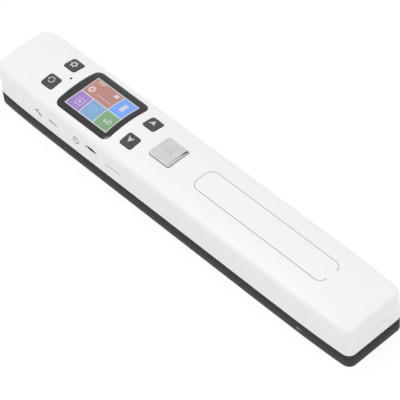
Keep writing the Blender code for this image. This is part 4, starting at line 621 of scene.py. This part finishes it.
def circle(x, y, radius, sides=28):
    """Outlines of (x, y): a circle, and a box that ends where it began."""
    return arc(x, y, radius, 0, 360, sides)[:sides]


def box_path(x, y, half_x, half_y):
    corners = ((-1, -1), (1, -1), (1, 1), (-1, 1), (-1, -1))
    return [(x + half_x * u, y + half_y * v) for u, v in corners]


def pan_screw(name, x, y):
    """A screw that points up, with a domed head below and a cross recess in it."""
    bm = bmesh.new()
    rings = [(0.0002, HEAD_LOW), (0.0011, HEAD_LOW + 0.00003), (0.0016, HEAD_LOW + 0.00016)]
    rings += [(HEAD_RADIUS, HEAD_LOW + 0.0004), (HEAD_RADIUS, HEAD_HIGH), (SCREW_RADIUS, HEAD_HIGH)]
    height = HEAD_HIGH + 0.0002
    while height < SCREW_END:
        rings += [(SCREW_RADIUS, height), (SCREW_RADIUS * 0.8, height + PITCH * 0.4)]
        height += PITCH
    rings.append((0.0006, SCREW_END))
    loft(bm, [at_height(circle(x, y, radius), flat(z)) for radius, z in rings], True, True)
    screw = piece(name, bm, "case", plated_steel, [name])
    for long, wide in ((0.0011, 0.00028), (0.00028, 0.0011)):
        bm = bmesh.new()
        levels = ((1, -0.0002), (1, 0.0001), (0.55, 0.0006))
        loft(bm, [
            at_height(box_path(x, y, long * share, wide * share)[:4], flat(HEAD_LOW + rise))
            for share, rise in levels
        ], True, True)
        carved(screw, bm)


for index, (x, y) in enumerate(((-0.1205, -0.0115), (-0.1205, 0.0115), (0.1205, -0.0115), (0.1205, 0.0115))):
    pan_screw(f"housing_screw_{index + 1}", x, y)

# Glides. Two feet of slippery black plastic, pushed into pockets of the base. They hold it level on the
# page, opposite the rollers.

slick_black = moulded_finish("slick_black", (0.022, 0.022, 0.023), 0.2, 2500.0, 0.05, 0.24, 0.10)
dressed(["left_glide", "right_glide"], slick_black, 0.00025)

# Scan window and sensor bar. Clear float glass in the base, and over it a long moulded bar that holds
# the light guide and the row of rod lenses, with its circuit board and flat cable on top. The chassis
# that clamps it and the display's bracket are moulded in the same grey.

window_glass, tree, surface = new_finish("window_glass")
spot = own_place(tree)
wiped = node(tree, "TexNoise", {"Vector": spot, "Scale": 90.0, "Detail": 5.0, "Roughness": 0.7})
haze = ranged(tree, wiped, 0.45, 0.75, 0.005, 0.03)
fed(surface, {"Base Color": (0.93, 0.97, 0.96, 1), "IOR": 1.5, "Transmission Weight": 1.0, "Roughness": haze})
dressed(["scan_glass"], window_glass, 0.0001)


def blended(tree, share, first, second):
    """A colour between two others, by a share."""
    mix = node(tree, "Mix", {"Factor": share, "A": first, "B": second}, data_type="RGBA")
    return mix.outputs["Result"]


inner_moulding = moulded_finish("inner_moulding", (0.27, 0.28, 0.30), 0.10, 4200.0, 0.15, 0.58, 0.08)
dressed(["sensor_housing", "inner_chassis", "display_bracket"], inner_moulding)

rod_row, tree, surface = new_finish("rod_row")
spot = own_place(tree)
rods = node(tree, "TexVoronoi", {"Vector": spot, "Scale": 1600.0, "Randomness": 0.1})
rod_mask = ranged(tree, rods, 0.28, 0.42, 1, 0)
rod_tone = blended(tree, rod_mask, (0.018, 0.018, 0.02, 1), (0.16, 0.20, 0.20, 1))
fed(surface, {"Base Color": rod_tone, "Roughness": ranged(tree, rod_mask, 0, 1, 0.6, 0.1)})
dressed(["rod_lens_array"], rod_row)

clear_moulding = moulded_finish(
    "clear_moulding", (0.86, 0.90, 0.90), 0.05, 2000.0, 0.04, 0.10, 0.06, Transmission_Weight=0.85, IOR=1.49
)
dressed(["light_guide"], clear_moulding)

# Circuit boards. Glass-fibre boards under the sensor bar's, main, key and encoder circuits, with green
# solder mask over copper tracks and tinned pads in a regular pitch.

mask_green, tree, surface = new_finish("mask_green")
spot = own_place(tree)
lanes = node(tree, "TexBrick", {
    "Vector": spot, "Color1": (1, 1, 1, 1), "Color2": (0.7, 0.7, 0.7, 1), "Mortar": (0, 0, 0, 1),
    "Scale": 420.0, "Mortar Size": 0.055, "Brick Width": 2.6, "Row Height": 0.32,
}, offset_frequency=3)
tracks = blended(tree, lanes, (0.010, 0.085, 0.035, 1), (0.022, 0.160, 0.068, 1))
pads = node(tree, "TexVoronoi", {"Vector": spot, "Scale": 330.0, "Randomness": 0.35})
pad_mask = ranged(tree, pads, 0.10, 0.13, 1, 0)
coated = blended(tree, pad_mask, tracks, (0.62, 0.60, 0.55, 1))
raised = node(tree, "Bump", {"Height": lanes.outputs["Fac"], "Strength": 0.3, "Distance": 0.00003})
board_gloss = ranged(tree, pad_mask, 0, 1, 0.42, 0.25)
fed(surface, {"Base Color": coated, "Metallic": pad_mask, "Normal": raised, "Roughness": board_gloss})
dressed(["sensor_board", "main_board", "key_board", "encoder_board"], mask_green)

# Flat cable. A strip of amber film that joins the sensor's board to the main board, with its copper
# lines showing through.

amber_film, tree, surface = new_finish("amber_film")
spot = own_place(tree)
split = node(tree, "SeparateXYZ", {"Vector": spot})
count = node(tree, "Math", {0: split.outputs["Y"], 1: 12600.0}, operation="MULTIPLY")
wave = node(tree, "Math", {0: count}, operation="SINE")
copper = ranged(tree, wave, -0.2, 0.2)
film_tone = blended(tree, copper, (0.36, 0.19, 0.05, 1), (0.62, 0.34, 0.13, 1))
fed(surface, {"Base Color": film_tone, "Roughness": ranged(tree, copper, 0, 1, 0.30, 0.42)})
dressed(["sensor_flex"], amber_film)

# Soldered pieces and switches. Black moulded bodies, and drawn steel shells for the port and the card,
# soldered to the boards, which small plated screws hold.

chip_moulding = moulded_finish("chip_moulding", (0.028, 0.028, 0.029), 0.2, 6000.0, 0.25, 0.48, 0.10)
dressed([
    "power_switch", "board_header", "back_switch", "menu_switch", "down_switch", "up_switch", "scan_switch",
    "slot_sensor",
], chip_moulding, 0.0001)
dressed(["usb_connector", "card_socket"], plated_steel)
dressed([
    "chassis_screw_1", "chassis_screw_2", "main_board_screw_1", "main_board_screw_2", "encoder_board_screw",
    "key_board_screw_1", "key_board_screw_2",
], plated_steel, 0.0001)

# Battery. A pouch cell in blue shrink film that is creased at its ends, held by stops on the chassis. A
# red pair of wires with a plug joins it to the main board.

blue_film, tree, surface = new_finish("blue_film")
spot = own_place(tree)
creases_and_shade = node(tree, "TexNoise", {"Vector": spot, "Scale": 130.0, "Detail": 5.0, "Distortion": 1.2})
folds = node(tree, "Bump", {"Height": creases_and_shade, "Strength": 0.35, "Distance": 0.0003})
# The film is a darker blue in the hollows of the creases: painted shade, over the bumped creases.
film_tone = blended(tree, creases_and_shade, (0.055, 0.13, 0.29, 1), (0.10, 0.20, 0.40, 1))
fed(surface, {"Base Color": film_tone, "Roughness": ranged(tree, creases_and_shade, 0, 1, 0.25, 0.45)})
fed(surface, {"Normal": folds, "Coat Weight": 0.4, "Coat Roughness": 0.15})
dressed(["battery"], blue_film)
wire_jacket = moulded_finish("wire_jacket", (0.46, 0.02, 0.02), 0.15, 3000.0, 0.05, 0.38, 0.08)
dressed(["battery_lead"], wire_jacket)

# Screen. A dark acrylic lens set flush in the crown, and behind its clear middle the lit picture: a
# menu of coloured tiles. The picture's face is carried right under the lens's gloss.

lens_acrylic = moulded_finish(
    "lens_acrylic", (0.014, 0.014, 0.015), 0.10, 1500.0, 0.02, 0.14, 0.04, Specular_IOR_Level=0.6
)
# The lens's profile of (inset, depth): its face, a shallow bevel, its edge and its back.
LENS_THICK = 0.001
lens_profile = [(LENS_HALF_Y * share, 0) for share in (1, 0.85, 0.7, 0.55, 0.4, 0.25, 0.1)]
lens_profile += [(0.00095, 0), (0.00088, 0.000004), (0.00024, 0.00010), (0.00016, 0.00012)]
lens_profile += [(0.00004, 0.00022), (0, 0.0004)]
lens_profile += [(LENS_HALF_Y * share, LENS_THICK) for share in (0, 0.5, 1)]
bm = bmesh.new()
loft(bm, [at_height(lens_loop(inset), under_top(drop)) for inset, drop in lens_profile])
piece("lens_plate", bm, "case", lens_acrylic, ["screen_lens"])
dressed(["display_module"], chip_moulding, 0.0001)

# The picture's light: a tile's colour, a little patchy, behind a fine grid of dots.
lit, lit_in, lit_out = new_group(
    "lit_picture", [("Colour", "Color", (1, 1, 1, 1)), ("Shade", "Float", 0.15)], [("Light", "Color")]
)
spot = own_place(lit)
patchy = node(lit, "TexNoise", {"Vector": spot, "Scale": 160.0, "Detail": 2.0})
dots = node(lit, "TexVoronoi", {"Vector": spot, "Scale": 5200.0, "Randomness": 0.0})
grid = ranged(lit, dots, 0.3, 0.7, 1, 0.95)
fade = node(lit, "Math", {0: patchy, 1: lit_in.outputs["Shade"]}, operation="MULTIPLY")
kept = node(lit, "Math", {0: grid, 1: fade}, operation="SUBTRACT")
glow = node(lit, "VectorMath", {0: lit_in.outputs["Colour"], 3: kept}, operation="SCALE")
fed(lit_out, {"Light": glow})


def lit_finish(name, colour, shade=0.15):
    """A lit part of the picture: it glows with its colour under a glossy face."""
    finish, tree, surface = new_finish(name)
    glow = node(tree, "Group", {"Colour": (*colour, 1), "Shade": shade}, node_tree=lit).outputs["Light"]
    fed(surface, {"Emission Color": glow, "Emission Strength": 1.0})
    fed(surface, {"Base Color": (0.01, 0.01, 0.01, 1), "Roughness": 0.12})
    return finish


PICTURE = {
    "lit_white": (0.80, 0.80, 0.82), "lit_brick": (0.51, 0.25, 0.21), "lit_blue": (0.19, 0.40, 0.95),
    "lit_purple": (0.385, 0.23, 0.635), "lit_sky": (0.235, 0.43, 0.71), "lit_green": (0.215, 0.42, 0.22),
}
lit_colours = [lit_finish(name, colour) for name, colour in PICTURE.items()]
# The picture's edges, the lines between its tiles, and how far its left edge is hollow.
LEFT, RIGHT, NEAR, FAR, LINE, HOLLOW = -0.0783, -0.0481, -0.0119, 0.0108, 0.00042, 7.0
MIDDLE, COLUMN, NEAR_COLUMN = -0.0013, -0.0583, -0.0689
tiles = (
    (LEFT, COLUMN, MIDDLE, FAR, 1), (COLUMN, RIGHT, MIDDLE, FAR, 2), (LEFT, NEAR_COLUMN, NEAR, MIDDLE, 3),
    (NEAR_COLUMN, COLUMN, NEAR, MIDDLE, 4), (COLUMN, RIGHT, NEAR, MIDDLE, 5),
)
columns, lanes = (
    sorted({edge + side * LINE / 2 for tile in tiles for edge in tile[first:first + 2] for side in (-1, 1)})
    for first in (0, 2)
)
spans = [(a, b) for a, b in zip(lanes, lanes[1:]) if b - a > LINE * 2]
lanes = sorted(lanes + [a + (b - a) * k / 5 for a, b in spans for k in range(1, 5)])
bm = bmesh.new()
for lift in (INK, -INK):
    made = [
        [bm.verts.new(on_top(x - (x < LEFT + LINE) * HOLLOW * y * y, y, lift)) for y in lanes]
        for x in columns
    ]
    for i in range(len(columns) - 1):
        for j in range(len(lanes) - 1):
            face = bm.faces.new((made[i][j], made[i + 1][j], made[i + 1][j + 1], made[i][j + 1]))
            x, y = (columns[i] + columns[i + 1]) / 2, (lanes[j] + lanes[j + 1]) / 2
            face.material_index = next(
                (tone for x0, x1, y0, y1, tone in tiles
                 if x0 + LINE / 2 < x < x1 - LINE / 2 and y0 + LINE / 2 < y < y1 - LINE / 2), 0
            )
piece("picture_face", bm, "case", lit_colours)

# Signs on the picture. Plain shapes stand for the menu's icons, letters and digits, lit in white or in a
# pale tint of their tile.

THIN, FINE = 0.00001, 0.00034


def on_picture(u, v, lift):
    """A place on the picture, for its signs."""
    return (u, v, shell_top(u, v) + INK + lift)


KEY_SIGN = [
    arc(-0.0514, -0.0067, 0.0011, 0, 360, 18), run((-0.0524, -0.0072), (-0.0545, -0.0079), 3),
    run((-0.0540, -0.0077), (-0.0544, -0.0060), 2),
]
# Of each tint the colour, and its patches, rings and lines, each set of lines with its width and lift.
SIGNS = {
    "lit_sign": (
        (0.74, 0.77, 0.80), [[(-0.0738, -0.0078), (-0.0723, -0.0070), (-0.0738, -0.0062)]], [],
        [([box_path(-0.0731, -0.0070, 0.0021, 0.0019)], FINE, 0), (KEY_SIGN, 0.00044, 0)],
    ),
    "lit_rose": (
        (0.76, 0.58, 0.59), [],
        [(star(-0.0749, 0.0028, 8, 0.0024, 0.0018), circle(-0.0749, 0.0028, 0.0009, 16))],
        [([run((-0.0702, 0.0020), (-0.0597, 0.0020), 8)], FINE, 0),
         ([run((-0.0529, 0.0034), (-0.0529, 0.0066), 4)], 0.00070, THIN),
         ([run((-0.0622, 0.0090), (-0.0622, 0.0074), 2)], 0.00060, THIN)],
    ),
    "lit_blush": ((0.62, 0.40, 0.38), [box_path(-0.0744, 0.0092, 0.0026, 0.0009)[:4]], [], []),
    "lit_frost": (
        (0.62, 0.65, 0.87),
        [box_path(-0.0531, 0.0050, 0.0013, 0.0026)[:4], box_path(-0.0620, 0.0081, 0.0012, 0.0012)[:4]],
        [], [],
    ),
    "lit_mist": ((0.34, 0.53, 0.76), [], [], [([arc(-0.0630, -0.0060, 0.0014, 0, 360, 18)], FINE, 0)]),
}
for tint, (colour, patches, rings, line_sets) in SIGNS.items():
    bm = bmesh.new()
    for outline in patches:
        ink_patch(bm, outline, on_picture, THIN)
    for outer, inner in rings:
        ink_ring(bm, outer, inner, on_picture, THIN)
    for paths, width, above in line_sets:
        ink_lines(bm, paths, width, lambda u, v, lift: on_picture(u, v, lift + above), THIN)
    piece("picture_" + tint, bm, "case", lit_finish(tint, colour, 0.05))

# Light pipe. A smoked rod that brings the status light up to the pinhole between the left keys. It is its
# solid over again, moved under the pinhole.

smoked_rod = moulded_finish(
    "smoked_rod", (0.010, 0.012, 0.010), 0.05, 2000.0, 0.03, 0.30, 0.05, Transmission_Weight=0.3, IOR=1.49
)
bm = bmesh.new()
bm.from_mesh(nodes["indicator_light_pipe"].data)
bmesh.ops.translate(bm, verts=bm.verts, vec=(0, LIGHT_Y, 0))
piece("light_pipe", bm, "case", smoked_rod, ["indicator_light_pipe"])

# Small keys. Four caps moulded in charcoal plastic with a soft matt skin, each with a flange that holds
# it under the housing and a stem over its switch. Their signs are printed in light grey.

charcoal_cap = moulded_finish(
    "charcoal_cap", (0.063, 0.063, 0.064), 0.10, 6500.0, 0.16, 0.50, 0.08, Specular_IOR_Level=0.4
)
key_ink = moulded_finish("key_ink", (0.60, 0.60, 0.61), 0.1, 4000.0, 0.05, 0.5)
KEY_PROUD, SCAN_PROUD, KEY_EDGE, SCAN_EDGE = 0.0003, 0.0007, 0.0005, 0.0003
FLANGE, UNDER, STEM_HALF, STEM_END, SIGN_X, SIGN_Y = 0.0008, 0.0003, 0.0015, 0.0256, -0.0005, 0.0003


def square_loop(x, y, half, longer, corner, inset=0.0):
    """A key's outline in plan."""
    return [(px, y + py) for px, py in plan_loop(half + longer, half, corner, inset, 0, x, 3, 7, 6)]


def key_cap(name, x, y, half, longer, proud, edge, finish):
    """A nearly square cap: stem, flange, wall, rounded rim and a top that follows the crown."""
    stem, wall = square_loop(x, y, STEM_HALF, 0, STEM_HALF), square_loop(x, y, half, longer, KEY_CORNER)
    flange = square_loop(x, y, half + FLANGE, longer, KEY_CORNER)
    rings = [at_height(stem, flat(STEM_END)), at_height(stem, under_top(WALL + FLANGE + UNDER))]
    rings += [at_height(flange, under_top(WALL + deep + UNDER)) for deep in (FLANGE, 0)]
    rings.append(at_height(wall, under_top(WALL + UNDER)))
    for step in range(6):
        angle = math.pi / 2 * step / 5
        inset, drop = edge * (1 - math.cos(angle)), edge * (1 - math.sin(angle)) - proud
        rings.append(at_height(square_loop(x, y, half, longer, KEY_CORNER, inset), under_top(drop)))
    for step in range(1, 6):
        inset = edge + (half - edge) * step / 5
        rings.append(at_height(square_loop(x, y, half, longer, KEY_CORNER, inset), under_top(-proud)))
    bm = bmesh.new()
    loft(bm, rings, True)
    return piece(name + "_cap", bm, name, finish, [name])


def on_key(u, v, lift):
    """A place on a small key's face."""
    return (u, v, shell_top(u, v) + KEY_PROUD + lift)


for key_name, (x, y) in KEY_PLACES.items():
    key_cap(key_name + "_key", x, y, KEY_HALF, KEY_LONGER, KEY_PROUD, KEY_EDGE, charcoal_cap)
    x, y = x + SIGN_X, y + SIGN_Y
    bm = bmesh.new()
    if key_name == "back":
        ink_lines(bm, [arc(x, y + 0.0003, 0.00168, 232, 540, 24)], 0.00052, on_key)
        ink_patch(bm, [(x - 0.0024, y + 0.0003), (x - 0.0009, y + 0.0003), (x - 0.0017, y - 0.0006)], on_key)
    elif key_name == "menu":
        ink_ring(bm, star(x + 0.0001, y, 6, 0.0026, 0.0015), circle(x + 0.0001, y, 0.00095, 12), on_key)
    else:
        tip = math.copysign(1, y)
        arrow = [(x, 0.0019), (x + 0.0020, -0.0015), (x, -0.0008), (x - 0.0020, -0.0015)]
        ink_patch(bm, [(u, y + 0.0002 + v * tip) for u, v in arrow], on_key)
    piece(key_name + "_sign", bm, key_name + "_key", key_ink)

# Scan key. A wide silver cap with a rounded rim, its steep sides a darker grey as painted shade. A
# seam that widens parts its face from the strip along its right edge, with a near-black strip in its floor as
# painted shade. Its faint sign is engraved.

silver_cap = metal_finish("silver_cap", (0.66, 0.66, 0.67), 1500.0, 0.25, 0.42, 0.25)
# A darker grey for the cap's steep sides: painted shade where the sides turn away from the light.
painted_shade_side = moulded_finish("painted_shade_side", (0.42, 0.42, 0.425), 0.1, 5000.0, 0.1, 0.5)
# A near-black finish for painted shade: the floor of the scan key's seam and of the power key's notch.
painted_shade_black = moulded_finish(
    "painted_shade_black", (0.007, 0.007, 0.008), 0.2, 4000.0, 0.1, 0.7, 0.05, Specular_IOR_Level=0.2
)
cap_finishes = [silver_cap, painted_shade_side]
scan_cap = key_cap(
    "scan_key", SCAN_X, SCAN_Y, SCAN_HALF, SCAN_LONGER, SCAN_PROUD, SCAN_EDGE, cap_finishes
)
# Steep faces take the darker grey: painted shade on the cap's sides.
for face in scan_cap.data.polygons:
    face.material_index = int(abs(face.normal.z) < 0.3)
# The seam's course of (y, place from the cap's edge, half width).
seam = [
    (-0.0069, -0.00110, 0.00007), (-0.0020, -0.00108, 0.00010), (0.0015, -0.00102, 0.00018),
    (0.0040, -0.00092, 0.00034), (0.0058, -0.00080, 0.00052), (0.0068, -0.00074, 0.00052),
]
# The groove is cut into the cap, and a near-black strip in its floor stands for the shade in the seam:
# painted shade.
for deep, narrower, name in ((0.0003, 0, "groove"), (0.00012, 0.00002, "scan_key_seam_shade")):
    rings = []
    for y, from_edge, half in seam:
        seam_x = SCAN_X + SCAN_HALF + SCAN_LONGER + from_edge
        z, half = shell_top(SCAN_X, y) + SCAN_PROUD, half - narrower
        low, high = (z - deep, z + 0.0003) if name == "groove" else (z - 0.0003, z - deep)
        corners = ((-half, high), (-half, low), (half, low), (half, high))
        rings.append([(seam_x + across, y, level) for across, level in corners])
    bm = bmesh.new()
    loft(bm, rings, True, True)
    if name == "groove":
        carved(scan_cap, bm)
    else:
        piece(name, bm, "scan_key", painted_shade_black)
faint_mark = metal_finish("faint_mark", (0.40, 0.40, 0.41), 1500.0, 0.2, 0.5, 0.2)
bm = bmesh.new()


def on_scan(u, v, lift):
    """A place on the scan key's face."""
    return (SCAN_X + u, v, shell_top(SCAN_X + u, v) + SCAN_PROUD + lift)


page = []
for turn, (u, v) in enumerate(((1, 1), (-1, 1), (-1, -1), (1, -1))):
    page += arc(0.0011 * u, 0.0014 * v, 0.0005, 90 * turn, 90 * turn + 90, 4)
ink_lines(bm, [page + page[:1], run((-0.0026, 0), (0.0026, 0), 6)], 0.00016, on_scan, THIN)
piece("scan_sign", bm, "scan_key", faint_mark)

# Power key. A white oval cap in the port side, pressed inwards, with a nail notch scooped along its top.
# The notch's floor is a near-black piece: painted shade.

POWER_SLIP, POWER_SUNK, NOTCH_HALF = 0.00008, 0.0004, 0.0047
# How deep the notch cuts the cap down, at its face, its back and its flange.
NOTCH_FACE, NOTCH_CUT, NOTCH_FLANGE = 0.0026, 0.0031, 0.0050


def power_loop(grow, cut):
    """The cap's outline of (x, z), cut down along its top by the notch."""
    loop = []
    for x, z in oval(POWER_X, POWER_Z, POWER_HALF_X - POWER_SLIP, POWER_HALF_Z - POWER_SLIP, grow, 48):
        span = max(0.0, 1 - ((x - POWER_X) / NOTCH_HALF) ** 2) ** 0.8
        loop.append((x, z - cut * span if z > POWER_Z else z))
    return loop


bm = bmesh.new()
face, inside = wall_y(POWER_X) + POWER_SUNK, wall_y(POWER_X) + WALL + UNDER
levels = (
    (FLANGE, NOTCH_FLANGE, inside + FLANGE), (FLANGE, NOTCH_FLANGE, inside), (0, NOTCH_CUT, inside),
    (0, NOTCH_FACE + 0.0001, face + POWER_SLIP), (-POWER_SLIP, NOTCH_FACE, face),
)
loft(bm, [[(x, y, z) for x, z in power_loop(grow, cut)] for grow, cut, y in levels], True, True)
piece("power_cap", bm, "power_key", white_moulding, ["power_key"])
# The notch's floor: a near-black sheet that stands for the shade under the lip, painted shade.
bm = bmesh.new()
both_edges = zip(power_loop(-0.0001, 0), power_loop(0.0001, NOTCH_CUT))
floor = [(top, low) for top, low in both_edges if abs(top[1] - low[1]) > 0.0004]
floor = [top for top, low in floor] + [low for top, low in reversed(floor)]
loft(bm, [[(x, face + deep, z) for x, z in floor] for deep in (0.00018, 0.0006)], True, True)
piece("power_notch_shade", bm, "power_key", painted_shade_black)

# Rollers. A steel shaft carries two hubs with grooved rubber tyres and a small spur gear, and turns in
# sintered bronze bushes. The gear drives a pinion on the encoder's arbor.

tyre_rubber = moulded_finish(
    "tyre_rubber", (0.030, 0.030, 0.032), 0.25, 5200.0, 0.5, 0.78, 0.10, Specular_IOR_Level=0.3
)
ROLLER_X, ROLLER_Y, ROLLER_Z = 0.1000, 0.0120, 0.0048
TYRE_BORE, TYRE_RADIUS, TYRE_HALF = 0.0035, 0.0048, 0.0035
tyre_profile = [(TYRE_BORE, TYRE_HALF), (0.0042, TYRE_HALF), (0.0046, TYRE_HALF - 0.0001)]
tyre_profile.append((TYRE_RADIUS, TYRE_HALF - 0.0004))
for groove in (0.0020, 0.0010, 0.0, -0.0010, -0.0020):
    for deep, along in ((0, 0.00022), (0.0003, 0.00010), (0.0003, -0.00010), (0, -0.00022)):
        tyre_profile.append((TYRE_RADIUS - deep, groove + along))
tyre_profile += [(r, -x) for r, x in reversed(tyre_profile[:4])]


def turned(bm, profile, x, y, z, sides=72):
    """A ring turned about an axis along the body, from its closed profile of (radius, place along)."""
    rows = []
    for radius, along in profile + profile[:1]:
        rows.append([(x + along, y + px, z + py) for px, py in circle(0, 0, radius, sides)])
    loft(bm, rows)


for side, x in (("left", -ROLLER_X), ("right", ROLLER_X)):
    bm = bmesh.new()
    turned(bm, tyre_profile, x, ROLLER_Y, ROLLER_Z)
    piece(side + "_tyre", bm, "rollers", tyre_rubber, [side + "_roller_tyre"])
acetal = moulded_finish("acetal", (0.74, 0.73, 0.69), 0.05, 2500.0, 0.05, 0.38, 0.08)
turned_steel = metal_finish("turned_steel", (0.62, 0.62, 0.63), 2200.0, 0.1, 0.22)
sintered_bronze = metal_finish("sintered_bronze", (0.50, 0.31, 0.14), 3000.0, 0.4, 0.42)
dressed(["left_roller_hub", "right_roller_hub", "roller_gear", "encoder_pinion"], acetal, 0.00004)
dressed(["roller_shaft", "encoder_arbor"], turned_steel)
dressed(["left_bush", "right_bush", "gear_bush"], sintered_bronze, 0.0001)

# Encoder disc. Thin black film with slots, pressed on the pinion's arbor, where it turns in the slot
# sensor's gap.

dressed(["encoder_disc"], slick_black)
